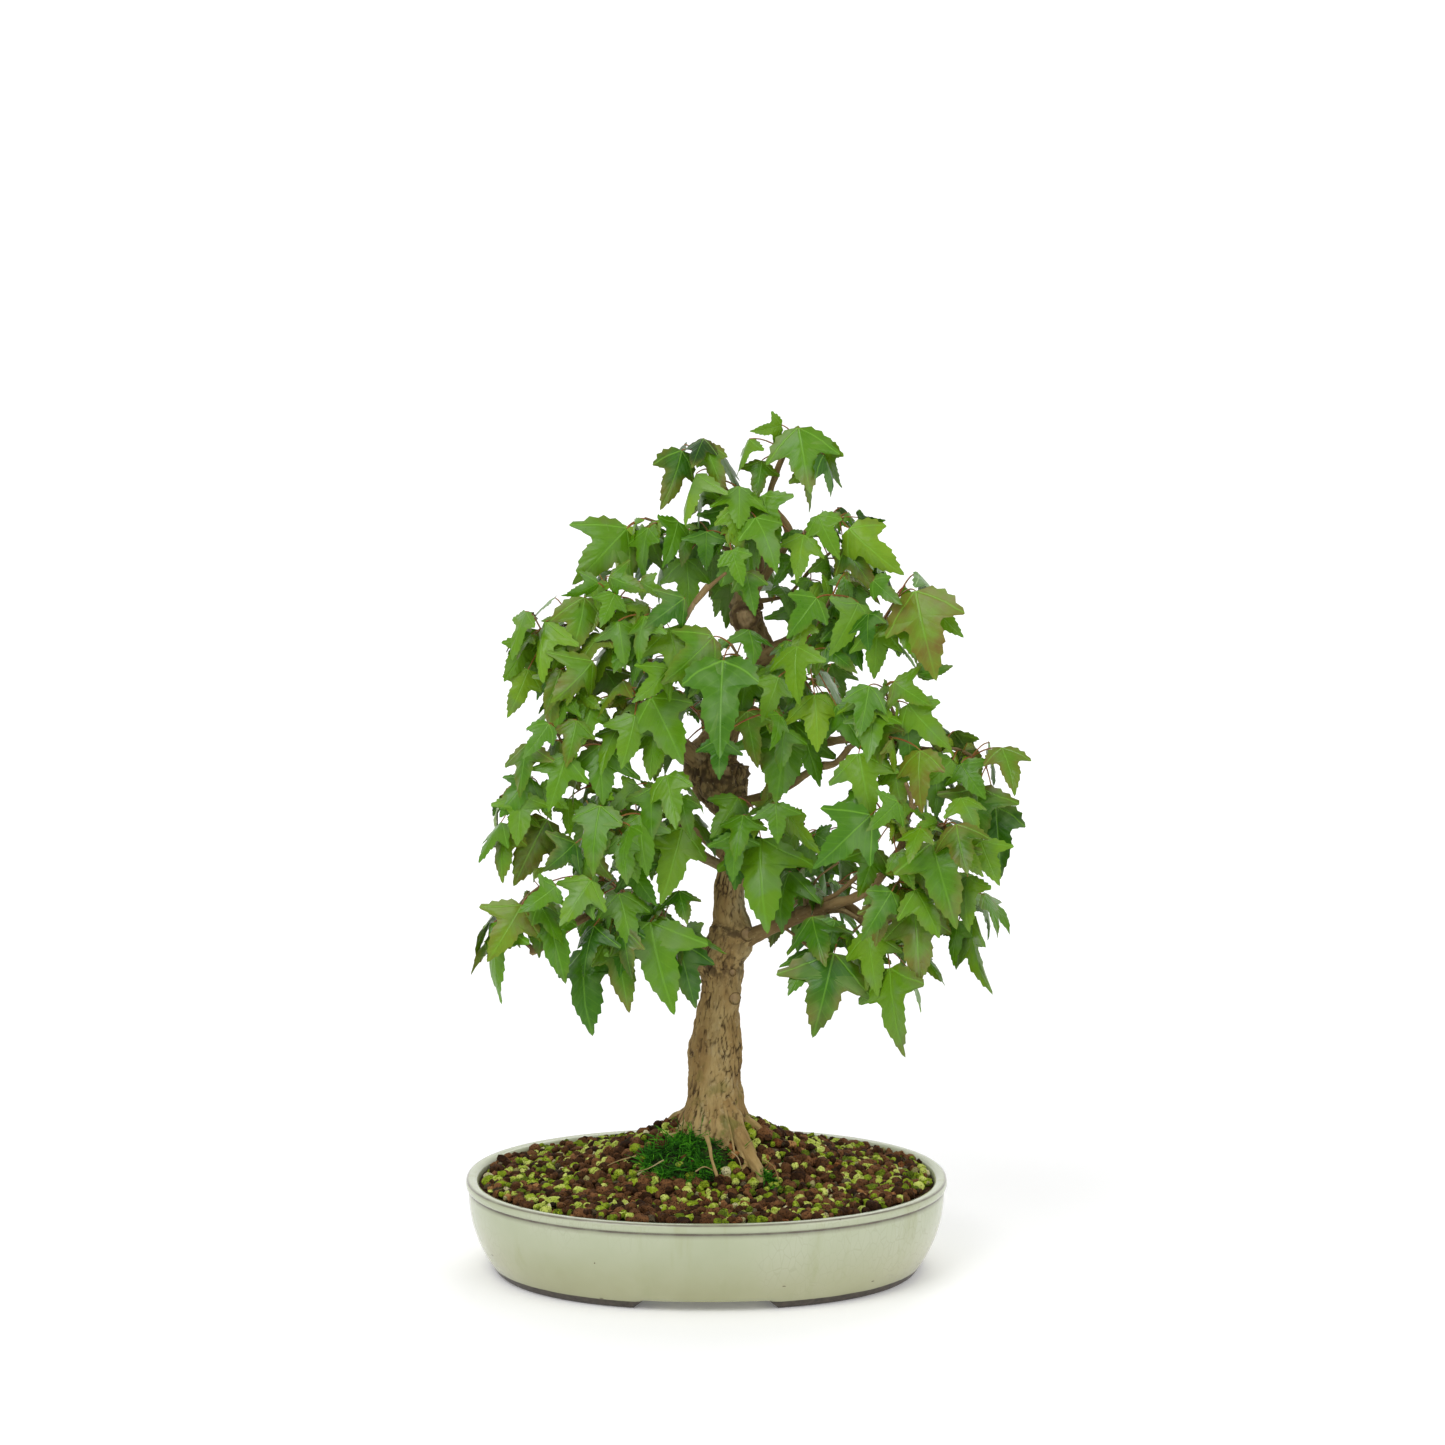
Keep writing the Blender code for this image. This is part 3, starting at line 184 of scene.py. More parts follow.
def makePiece(name, points, faces, look, replaced=(), values=None, map2d=None, sharp=None):
    # values: attributes by name, one number or vector for each point. map2d: a UV pair for each point.
    mesh = bpy.data.meshes.new(name)
    corners = np.concatenate([face.ravel() for face in faces])
    sizes = np.concatenate([np.full(len(face), face.shape[1]) for face in faces])
    mesh.vertices.add(len(points))
    mesh.vertices.foreach_set("co", np.ascontiguousarray(points, np.float32).ravel())
    mesh.loops.add(len(corners))
    mesh.loops.foreach_set("vertex_index", corners.astype(np.int32))
    mesh.polygons.add(len(sizes))
    mesh.polygons.foreach_set("loop_start", (np.cumsum(sizes) - sizes).astype(np.int32))
    mesh.polygons.foreach_set("loop_total", sizes.astype(np.int32))
    mesh.update(calc_edges=True)
    mesh.validate()
    for key, value in (values or {}).items():
        kind = "FLOAT_VECTOR" if np.ndim(value) == 2 else "FLOAT"
        attribute = mesh.attributes.new(key, kind, "POINT")
        attribute.data.foreach_set("vector" if kind != "FLOAT" else "value", np.ravel(value).astype(np.float32))
    if map2d is not None:
        layer = mesh.uv_layers.new(name="bladeMap")
        layer.data.foreach_set("uv", map2d[corners].ravel().astype(np.float32))
    mesh.shade_smooth()
    if sharp:
        mesh.set_sharp_from_angle(angle=math.radians(sharp))
    mesh.materials.append(look)
    piece = bpy.data.objects.new(name, mesh)
    bpy.context.scene.collection.objects.link(piece)
    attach(piece, "root")
    if replaced:
        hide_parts(*replaced)
    return piece


# Shader helpers


def newLook(name, **plain):
    look = bpy.data.materials.new(name)
    look.use_nodes = True
    surface = look.node_tree.nodes["Principled BSDF"]
    for key, value in plain.items():
        surface.inputs[key.replace("_", " ")].default_value = value
    return look, look.node_tree, surface


def add(tree, kind, sockets=None, **settings):
    made = tree.nodes.new("ShaderNode" + kind)
    for key, value in settings.items():
        setattr(made, key, value)
    for key, value in (sockets or {}).items():
        if isinstance(value, bpy.types.NodeSocket):
            tree.links.new(value, made.inputs[key])
        else:
            made.inputs[key].default_value = value
    return made


def calc(tree, operation, a, b=0.0, c=0.0, clamp=False):
    return add(tree, "Math", {0: a, 1: b, 2: c}, operation=operation, use_clamp=clamp).outputs[0]


def times(tree, a, b):
    return calc(tree, "MULTIPLY", a, b)


def scaled(tree, value, by, plus):
    return calc(tree, "MULTIPLY_ADD", value, by, plus)


def inverse(tree, value):
    return calc(tree, "SUBTRACT", 1.0, value)


def fade(tree, value, low, high):
    # 0 below low, 1 above high, smooth between.
    return add(tree, "MapRange", {"Value": value, "From Min": low, "From Max": high},
               interpolation_type="SMOOTHSTEP").outputs[0]


def blendColours(tree, factor, first, second):
    made = add(tree, "Mix", data_type="RGBA")
    for socket, value in ((made.inputs[0], factor), (made.inputs[6], first), (made.inputs[7], second)):
        if isinstance(value, bpy.types.NodeSocket):
            tree.links.new(value, socket)
        elif isinstance(value, tuple):
            socket.default_value = (*value, 1)
        else:
            socket.default_value = value
    return made.outputs[2]


def ramp(tree, factor, stops):
    made = add(tree, "ValToRGB", {"Fac": factor})
    bar = made.color_ramp
    while len(bar.elements) < len(stops):
        bar.elements.new(1)
    for element, (position, colour) in zip(bar.elements, stops):
        element.position = position
        element.color = (*colour, 1)
    return made.outputs[0]


def grain(tree, coords, scale, detail=4.0, stretch=(1, 1, 1), rough=0.55):
    if stretch != (1, 1, 1):
        coords = add(tree, "Mapping", {"Vector": coords, "Scale": stretch}).outputs[0]
    return add(tree, "TexNoise", {"Vector": coords, "Scale": scale, "Detail": detail, "Roughness": rough}).outputs[0]


def cells(tree, coords, scale, feature="F1"):
    return add(tree, "TexVoronoi", {"Vector": coords, "Scale": scale}, feature=feature)


def place(tree):
    return add(tree, "TexCoord").outputs["Object"]


def read(tree, name, vector=False):
    return add(tree, "Attribute", attribute_name=name).outputs["Vector" if vector else "Fac"]


def bump(tree, surface, height, distance, strength=1.0):
    made = add(tree, "Bump", {"Height": height, "Distance": distance, "Strength": strength})
    tree.links.new(made.outputs[0], surface.inputs["Normal"])


def wire(tree, value, socket):
    tree.links.new(value, socket)


# Camera, light and floor

view = {"lens": 99.65, "sensor": 36, "pitch": 8.8, "stand": (9.17, -2225.5, 660.0)}
light = {"sky": 0.6, "key": 28, "fill": 11.5, "back": 10, "floorGlow": (0.12, 0.36)}


def makeStudio():
    eye = bpy.data.cameras.new("eye")
    eye.lens = view["lens"]
    eye.sensor_width = view["sensor"]
    camera = bpy.data.objects.new("eye", eye)
    camera.location = placed(view["stand"])
    camera.rotation_euler = (math.radians(90 - view["pitch"]), 0, 0)
    bpy.context.scene.collection.objects.link(camera)
    bpy.context.scene.camera = camera
    world = bpy.data.worlds.new("paleRoom")
    world.use_nodes = True
    world.node_tree.nodes["Background"].inputs["Color"].default_value = (1, 1, 1, 1)
    world.node_tree.nodes["Background"].inputs["Strength"].default_value = light["sky"]
    bpy.context.scene.world = world
    bpy.context.scene.view_settings.view_transform = "Standard"
    for name, size, power, spot, turn in (
        ("keyBox", 1.4, light["key"], (-1.0, -1.5, 2.1), (35, 0, -32)),
        ("fillBox", 1.6, light["fill"], (1.6, -1.2, 1.2), (60, 0, 52)),
        ("backBox", 1.2, light["back"], (0.3, 1.5, 1.9), (-40, 0, -8)),
    ):
        lamp = bpy.data.lights.new(name, "AREA")
        lamp.size = size
        lamp.energy = power
        box = bpy.data.objects.new(name, lamp)
        box.location = spot
        box.rotation_euler = [math.radians(angle) for angle in turn]
        bpy.context.scene.collection.objects.link(box)
    # The floor runs back and sweeps up: flat, then a quarter turn, then a wall.
    bend = np.linspace(0, math.pi / 2, 24)
    profile = np.concatenate([[[-4, 0]], np.stack([2.5 + np.sin(bend) * 1.5, 1.5 - np.cos(bend) * 1.5], 1), [[4, 5]]])
    across = np.array([-6.0, 6.0])
    points = np.array([[x, y, z] for y, z in profile for x in across])
    low = np.arange(len(profile) - 1) * 2
    mesh = bpy.data.meshes.new("floor")
    mesh.from_pydata(points.tolist(), [], np.stack([low, low + 1, low + 3, low + 2], 1).tolist())
    mesh.shade_smooth()
    look, tree, surface = newLook("paleFloor", Roughness=0.95, Specular_IOR_Level=0.1, Emission_Color=(1, 1, 1, 1))
    cloud = grain(tree, place(tree), 3, 2)
    # It glows a little, more so away from the pot, where the lamps fall off.
    away = fade(tree, add(tree, "VectorMath", {0: place(tree)}, operation="LENGTH").outputs["Value"], 0.4, 2.6)
    near, far = light["floorGlow"]
    wire(tree, scaled(tree, away, far - near, near), surface.inputs["Emission Strength"])
    wire(tree, blendColours(tree, cloud, (0.92, 0.92, 0.92), (0.95, 0.95, 0.95)), surface.inputs["Base Color"])
    mesh.materials.append(look)
    floor = bpy.data.objects.new("floor", mesh)
    bpy.context.scene.collection.objects.link(floor)
    print("studio ready")


# Pot

pot = {
    "halfLength": (potHigh[0] - potLow[0]) / 2 / mm, "halfDepth": (potHigh[1] - potLow[1]) / 2 / mm,
    "height": potHigh[2] / mm, "oval": 2.15, "rim": 7.5, "lip": 5.9, "groove": 1.4, "flare": 16,
    "steepens": 2.2, "footWidth": 10, "floorUnder": 5.6, "floor": 5.5, "archTop": 69, "archBottom": 81,
    "archHeight": 5, "holeRadius": 11, "holeOffset": 58, "clayTop": 5.1, "turns": 240,
}


def depthOf(halfLength):
    return halfLength - (pot["halfLength"] - pot["halfDepth"])


def ovalPoints(halfLength, angle):
    # A superellipse: |x/a|^n + |y/b|^n = 1, with b as far inside a as at the rim.
    halfDepth = depthOf(halfLength)
    power = 2 / pot["oval"]
    x = np.sign(np.cos(angle)) * np.abs(np.cos(angle)) ** power
    y = np.sign(np.sin(angle)) * np.abs(np.sin(angle)) ** power
    return halfLength * x, halfDepth * y


def wallOut(height):
    share = np.minimum(1, height / (pot["height"] - pot["lip"]))
    return pot["halfLength"] - pot["groove"] - pot["flare"] * (1 - share) ** pot["steepens"]


def wallIn(height):
    corner = 1 - np.minimum(1, (height - pot["floorUnder"] - pot["floor"]) / 12)
    return wallOut(height) - pot["rim"] + pot["groove"] - 9 * corner**2


def potProfile():
    # (half-length, height) from the underside's middle, round the foot, up the wall, over the lip and in.
    top, floorTop = pot["height"], pot["floorUnder"] + pot["floor"]
    lip = top - pot["lip"]
    foot = wallOut(0) - pot["footWidth"]
    rise = lip * np.linspace(0.06, 0.985, 22)
    turn = np.linspace(0, math.pi / 2, 5)
    inside = np.linspace(top - 3, floorTop, 16)
    edge = [
        (foot * 0.4, pot["floorUnder"]), (foot * 0.8, pot["floorUnder"]), (foot - 2, pot["floorUnder"]),
        (foot - 1.4, 4.4), (foot - 0.4, 0.6), (foot + 0.4, 0), (wallOut(0) - 1.2, 0), (wallOut(0) - 0.3, 0.3),
        (wallOut(1.2), 1.2), *zip(wallOut(rise), rise),
        (wallOut(lip) - 0.35, lip - 0.1), (wallOut(lip) - 0.3, lip + 0.35), (wallOut(lip) + 0.5, lip + 0.75),
        (pot["halfLength"] - 0.25, lip + 1.5), (pot["halfLength"], lip + 2.3), (pot["halfLength"], top - 2),
        *zip(pot["halfLength"] - 2 + 2 * np.cos(turn), top - 2 + 2 * np.sin(turn)),
        (pot["halfLength"] - 3.8, top - 0.05),
        (pot["halfLength"] - pot["rim"] + 2, top - 0.4), (pot["halfLength"] - pot["rim"] + 0.8, top - 1.4),
        *zip(wallIn(inside), inside),
        (wallIn(floorTop) * 0.7, floorTop), (wallIn(floorTop) * 0.35, floorTop),
    ]
    return np.array(edge)


def glazeLook():
    look, tree, surface = newLook("celadonGlaze", Roughness=0.16, Coat_Weight=0.3, Coat_Roughness=0.06)
    coords = place(tree)
    high = add(tree, "SeparateXYZ", {0: coords}).outputs[2]
    band = read(tree, "band")
    streak = grain(tree, coords, 60, 5, (1, 1, 0.12), 0.6)
    cloud = grain(tree, coords, 14, 4)
    colour = ramp(tree, cloud, [(0.3, (0.34, 0.37, 0.21)), (0.5, (0.42, 0.45, 0.29)), (0.72, (0.5, 0.515, 0.38))])
    pale = fade(tree, high, 0.006, 0.045)
    warm = blendColours(tree, pale, (0.37, 0.345, 0.175), (0.45, 0.495, 0.345))
    colour = blendColours(tree, 0.45, colour, warm)
    colour = blendColours(tree, times(tree, fade(tree, streak, 0.52, 0.75), 0.7), colour, (0.36, 0.38, 0.21))
    crazing = cells(tree, add(tree, "Mapping", {"Vector": coords, "Scale": (1, 1, 0.45)}).outputs[0], 260,
                    "DISTANCE_TO_EDGE").outputs[0]
    crackle = times(tree, calc(tree, "LESS_THAN", crazing, 0.035), fade(tree, cloud, 0.45, 0.7))
    colour = blendColours(tree, times(tree, crackle, 0.22), colour, (0.25, 0.25, 0.15))
    specks = cells(tree, coords, 95)
    dot = calc(tree, "LESS_THAN", specks.outputs[0], 0.05)
    rare = calc(tree, "GREATER_THAN", grain(tree, coords, 40, 1), 0.58)
    spot = times(tree, dot, rare)
    colour = blendColours(tree, spot, colour, (0.1, 0.07, 0.03))
    line = add(tree, "MapRange", {"Value": band, "From Min": 0.0, "From Max": 0.8}).outputs[0]
    line = times(tree, line, calc(tree, "ADD", grain(tree, coords, 90, 3), 0.4, clamp=True))
    colour = blendColours(tree, line, colour, (0.11, 0.08, 0.065))
    # Rare short scratches lie along the wall's lower half.
    nicks = cells(tree, add(tree, "Mapping", {"Vector": coords, "Scale": (1, 1, 2.6)}).outputs[0], 62)
    nick = times(tree, calc(tree, "LESS_THAN", nicks.outputs[0], 0.085),
                calc(tree, "GREATER_THAN", grain(tree, coords, 33, 1), 0.57))
    nick = times(tree, nick, calc(tree, "LESS_THAN", high, 0.026))
    colour = blendColours(tree, times(tree, nick, 0.75), colour, (0.12, 0.1, 0.05))
    wave = scaled(tree, grain(tree, coords, 55, 2), 0.0009, -0.00045)
    clay = inverse(tree, fade(tree, calc(tree, "ADD", high, wave),
                                            (pot["clayTop"] - 0.35) * mm, (pot["clayTop"] + 0.05) * mm))
    body = ramp(tree, grain(tree, coords, 300, 6), [(0.3, (0.04, 0.031, 0.022)), (0.7, (0.085, 0.068, 0.05))])
    wire(tree, blendColours(tree, clay, colour, body), surface.inputs["Base Color"])
    shine = scaled(tree, cloud, 0.12, 0.12)
    wire(tree, scaled(tree, clay, 0.6, shine), surface.inputs["Roughness"])
    wavy = calc(tree, "ADD", grain(tree, coords, 45, 2), times(tree, grain(tree, coords, 700, 3), clay))
    bump(tree, surface, calc(tree, "SUBTRACT", wavy, times(tree, spot, 0.7)), 0.0006, 0.35)
    return look


def makePot():
    # Profile rings on the oval. In the cut-outs the foot's rings are pressed up to the arch.
    profile = potProfile()
    corners = np.arccos((np.array([pot["archTop"], pot["archBottom"]]) / 2 / wallOut(0)) ** (pot["oval"] / 2))
    angle = np.linspace(0, 2 * math.pi, pot["turns"], endpoint=False)
    for corner in np.concatenate([corners, math.pi - corners, math.pi + corners, 2 * math.pi - corners]):
        angle[np.abs(angle - corner).argmin()] = corner
    footX = np.abs(ovalPoints(wallOut(0), angle)[0])
    slope = (pot["archBottom"] - pot["archTop"]) / 2
    arch = pot["archHeight"] * np.clip((pot["archBottom"] / 2 - footX) / slope, 0, 1)
    x, y = ovalPoints(profile[:, :1], angle)
    z = np.broadcast_to(profile[:, 1:], x.shape)
    reach = pot["floorUnder"] + 0.4
    z = np.where(z < reach, arch + z * (reach - arch) / reach, z)
    points, faces = closedRings(np.stack([x, y, z], -1))
    sides = x.shape[1]
    lip = pot["height"] - pot["lip"]
    groove = np.exp(-(((profile[:, 1] - lip - 0.1) / 0.85) ** 2)) * (profile[:, 0] > pot["halfLength"] - 3)
    crest = np.exp(-(((profile[:, 1] - pot["height"] + 0.5) / 0.42) ** 2)) * (profile[:, 0] > pot["halfLength"] - 1.7)
    band = np.append(np.repeat(groove * 0.8 + crest * 0.75, sides), [0, 0])
    thing = makePiece("glazedPot", placed(points), faces, glazeLook(), ["pot"], {"band": band}, sharp=40)
    for side in (-1, 1):
        hole = placed([[[side * pot["holeOffset"], 0, -2], [side * pot["holeOffset"], 0, 20]]])
        cutter = bpy.data.meshes.new("cutter")
        skin, quads, caps = tubes(hole, np.full((1, 2), pot["holeRadius"] * mm), 40)
        cutter.from_pydata(skin.tolist(), [], quads.tolist() + caps.tolist())
        drill = bpy.data.objects.new("drill", cutter)
        cut = thing.modifiers.new("hole", "BOOLEAN")
        cut.object = drill
        cut.solver = "EXACT"
        bpy.context.scene.collection.objects.link(drill)
        bpy.context.view_layer.update()
        made = bpy.data.meshes.new_from_object(thing.evaluated_get(bpy.context.evaluated_depsgraph_get()))
        thing.modifiers.clear()
        thing.data = made
        bpy.data.objects.remove(drill)
    print("pot ready")


# Soil and its grains

soil = {
    "belowRim": 2.5, "mound": 33, "side": 62, "front": 36, "back": 55, "trunk": (5, 8),
    "rings": 60, "sides": 160, "gap": 0.3,
    # heights of the bed's rings under the surface, and how far it lies under the lumps
    "bedRings": (11.4, 24, 38), "bedGap": 0.6, "sunk": 1.2,
    # spacing of the lumps, how far each may wander, and the margin they keep from the wall
    "coarse": (5.4, 1.6, 3.4), "fine": (5.6, 2.3, 3), "fineShare": 0.62, "clear": 17, "inMoss": 0.1,
}
# kind: share of the grains, smallest and largest size, colours from dark to light
grainKinds = {
    "lavaGrains": {"share": 0.53, "size": (5.3, 10.1), "flat": 0.85,
                   "colours": ((0.026, 0.011, 0.004), (0.09, 0.038, 0.013), (0.2, 0.09, 0.034))},
    "algaeGrains": {"share": 0.29, "size": (5.5, 9.9), "flat": 0.8,
                    "colours": ((0.09, 0.13, 0.008), (0.27, 0.37, 0.015), (0.6, 0.66, 0.16))},
    "pumiceGrains": {"share": 0.05, "size": (4.6, 8.0), "flat": 0.8,
                     "colours": ((0.24, 0.22, 0.07), (0.44, 0.4, 0.19), (0.66, 0.62, 0.36))},
    "emberGrains": {"share": 0.07, "size": (4.4, 7.8), "flat": 0.85,
                    "colours": ((0.12, 0.04, 0.012), (0.24, 0.095, 0.03), (0.38, 0.2, 0.07))},
    "slateGrains": {"share": 0.06, "size": (4.1, 8.0), "flat": 0.8,
                    "colours": ((0.02, 0.014, 0.007), (0.06, 0.043, 0.022), (0.14, 0.11, 0.06))},
}


def soilHeight(x, y):
    # The rim's level plus a bell round the trunk, which fades out at the oval's edge.
    dx, dy = x - soil["trunk"][0], y - soil["trunk"][1]
    far = np.hypot(dx / soil["side"], dy / np.where(dy < 0, soil["front"], soil["back"]))
    halfLength = wallIn(pot["height"] - soil["belowRim"]) - soil["gap"]
    halfDepth = depthOf(halfLength)
    edge = (np.abs(x / halfLength) ** pot["oval"] + np.abs(y / halfDepth) ** pot["oval"]) ** (1 / pot["oval"])
    edge = np.minimum(1, edge)
    return pot["height"] - soil["belowRim"] + soil["mound"] * np.exp(-far * far) * (1 - edge**4)


def soilLook():
    look, tree, surface = newLook("darkSoil", Roughness=0.95, Specular_IOR_Level=0.1)
    coords = place(tree)
    fine = grain(tree, coords, 420, 6)
    colour = ramp(tree, fine, [(0.3, (0.012, 0.006, 0.002)), (0.55, (0.05, 0.021, 0.009)),
                               (0.75, (0.12, 0.055, 0.024))])
    algae = fade(tree, grain(tree, coords, 130, 3), 0.58, 0.7)
    wire(tree, blendColours(tree, algae, colour, (0.1, 0.13, 0.012)), surface.inputs["Base Color"])
    bump(tree, surface, fine, 0.0012, 0.8)
    return look


def grainLook(name, colours):
    look, tree, surface = newLook(name, Roughness=0.9, Specular_IOR_Level=0.12)
    coords = place(tree)
    tone = read(tree, "tone")
    patch = grain(tree, coords, 380, 4, rough=0.65)
    mixed = scaled(tree, patch, 0.75, scaled(tree, tone, 0.55, -0.15))
    colour = ramp(tree, mixed, list(zip((0.25, 0.5, 0.78), colours)))
    pore = fade(tree, cells(tree, coords, 900).outputs[0], 0.12, 0.4)
    dark = tuple(part * 0.35 for part in colours[0])
    wire(tree, blendColours(tree, pore, dark, colour), surface.inputs["Base Color"])
    bump(tree, surface, calc(tree, "ADD", pore, grain(tree, coords, 1300, 3)), 0.0006, 0.8)
    return look


def lumpShape():
    # The corners and faces of a ball of 80 triangles, radius 1.
    ball = bmesh.new()
    bmesh.ops.create_icosphere(ball, subdivisions=2, radius=1)
    points = np.array([vert.co for vert in ball.verts])
    faces = np.array([[vert.index for vert in face.verts] for face in ball.faces])
    ball.free()
    return points, faces


def lumps(centres, sizes, flat):
    # Balls dented by noise and by flat cuts, stretched on three axes, each turned its own way.
    ball, faces = lumpShape()
    count = len(centres)
    cuts = unit(chance.normal(size=(count, 7, 3)))
    depth = chance.uniform(0.62, 0.95, (count, 7, 1))
    facing = cuts @ ball.T
    reach = np.minimum(1, (depth / np.maximum(facing, 0.05)).min(1))
    dents = smoothNoise(ball[None] * 1.7 + chance.uniform(0, 99, (count, 1, 3)), 3)
    shape = ball[None] * (reach * (1 + 0.22 * dents))[..., None]
    shape = shape * chance.uniform(0.72, 1.15, (count, 1, 3)) * [1, 1, flat]
    spin = np.linalg.qr(chance.normal(size=(count, 3, 3)))[0]
    spin = spin * np.sign(np.linalg.det(spin))[:, None, None]
    tilt = np.where(chance.random((count, 1, 1)) < 0.5, 1.0, 0.0)
    heading = chance.uniform(0, 2 * math.pi, count)
    level = np.zeros((count, 3, 3))
    level[:, 0, 0] = level[:, 1, 1] = np.cos(heading)
    level[:, 0, 1], level[:, 1, 0], level[:, 2, 2] = -np.sin(heading), np.sin(heading), 1
    turned = np.einsum("nij,nkj->nki", spin * tilt + level * (1 - tilt), shape)
    points = centres[:, None] + turned * (sizes / 2)[:, None, None]
    starts = (np.arange(count) * len(ball))[:, None, None]
    return points.reshape(-1, 3), (starts + faces).reshape(-1, 3)


def makeSoil():
    # Rings of the oval, from the wall inwards, lifted to the mound and roughened.
    halfLength = wallIn(pot["height"] - soil["belowRim"]) - soil["gap"]
    angle = np.linspace(0, 2 * math.pi, soil["sides"], endpoint=False)
    x, y = ovalPoints(halfLength, angle)
    share = 1 - np.arange(soil["rings"])[:, None] / soil["rings"]
    x, y = x * share, y * share
    z = soilHeight(x, y) - soil["sunk"]
    z = z + roughNoise(np.stack([x, y, z], -1) / 5, 11) * 0.9 * np.minimum(1, (1 - share) * 12)
    bottom = np.stack([np.stack([*ovalPoints(wallIn(height) - soil["bedGap"], angle), np.full_like(angle, height)], -1)
                       for height in soil["bedRings"]])
    points, faces = closedRings(np.concatenate([bottom, np.stack([x, y, z], -1)]))
    makePiece("soilBed", placed(points), faces, soilLook(), ["soil"])


def scatter(spacing, wander, margin):
    # A hexagonal lattice over the soil, each point moved a little, kept off the wall and the trunk.
    columns = np.arange(-34, 35)
    rows = np.arange(-32, 33)
    x, y = np.meshgrid(columns * spacing, rows * spacing * 0.866)
    x = x + (np.arange(len(rows)) % 2)[:, None] * spacing / 2
    spots = np.stack([x.ravel(), y.ravel()], 1) + chance.uniform(-wander, wander, (x.size, 2))
    halfLength = wallIn(pot["height"] - soil["belowRim"]) - margin
    halfDepth = depthOf(halfLength)
    inside = np.abs(spots[:, 0] / halfLength) ** pot["oval"] + np.abs(spots[:, 1] / halfDepth) ** pot["oval"] < 1
    clear = np.hypot(spots[:, 0] - soil["trunk"][0], spots[:, 1] - soil["trunk"][1]) > soil["clear"]
    return spots[inside & clear]


def makeGrains():
    # A coarse layer of lumps and a fine one between them. Noise makes the kinds lie in drifts.
    coarseSpots = scatter(*soil["coarse"])
    spots = np.concatenate([coarseSpots, scatter(*soil["fine"])])
    coarse = np.arange(len(spots)) < len(coarseSpots)
    # Few lumps stand in the moss.
    mossy = np.hypot(*((spots - moss["centre"]) / moss["half"]).T) < 0.95 + 0.25 * smoothNoise(
        np.column_stack([spots / 8, coarse * 0]), 24)
    keep = ~mossy | (chance.random(len(spots)) < soil["inMoss"])
    spots, coarse = spots[keep], coarse[keep]
    drift = roughNoise(np.stack([spots[:, 0] / 14, spots[:, 1] / 14, spots[:, 0] * 0], 1), 5, 2) * 0.24
    pick = np.clip(chance.random(len(spots)) + drift, 0, 0.999)
    left = 0.0
    for name, kind in grainKinds.items():
        chosen = (pick >= left) & (pick < left + kind["share"])
        left += kind["share"]
        size = chance.uniform(*kind["size"], chosen.sum()) * np.where(coarse[chosen], 1, soil["fineShare"])
        x, y = spots[chosen].T
        lift = np.where(coarse[chosen], 0.12, 0.5) * size + chance.uniform(-0.6, 0.9, len(size))
        centres = np.stack([x, y, soilHeight(x, y) - 0.6 + lift], 1)
        points, faces = lumps(centres, size, kind["flat"])
        tone = np.repeat(chance.random(len(size)), len(points) // len(size))
        makePiece(name, placed(points), [faces], grainLook(name, kind["colours"]), (), {"tone": tone}, sharp=38)
    print("soil ready")


# Moss

moss = {"centre": (-10, -19), "half": (27, 17), "height": 5.5, "tufts": 120, "perTuft": 22, "loose": 420,
        "onRoot": 620, "thick": (0.26, 0.46)}


def mossLook(name, dark, mid, light):
    look, tree, surface = newLook(name, Roughness=0.75, Specular_IOR_Level=0.2)
    coords = place(tree)
    tone = read(tree, "tone")
    patch = grain(tree, coords, 160, 4)
    mixed = scaled(tree, patch, 0.7, scaled(tree, tone, 0.5, -0.1))
    wire(tree, ramp(tree, mixed, [(0.2, dark), (0.5, mid), (0.8, light)]), surface.inputs["Base Color"])
    bump(tree, surface, grain(tree, coords, 900, 4), 0.0008, 0.7)
    return look


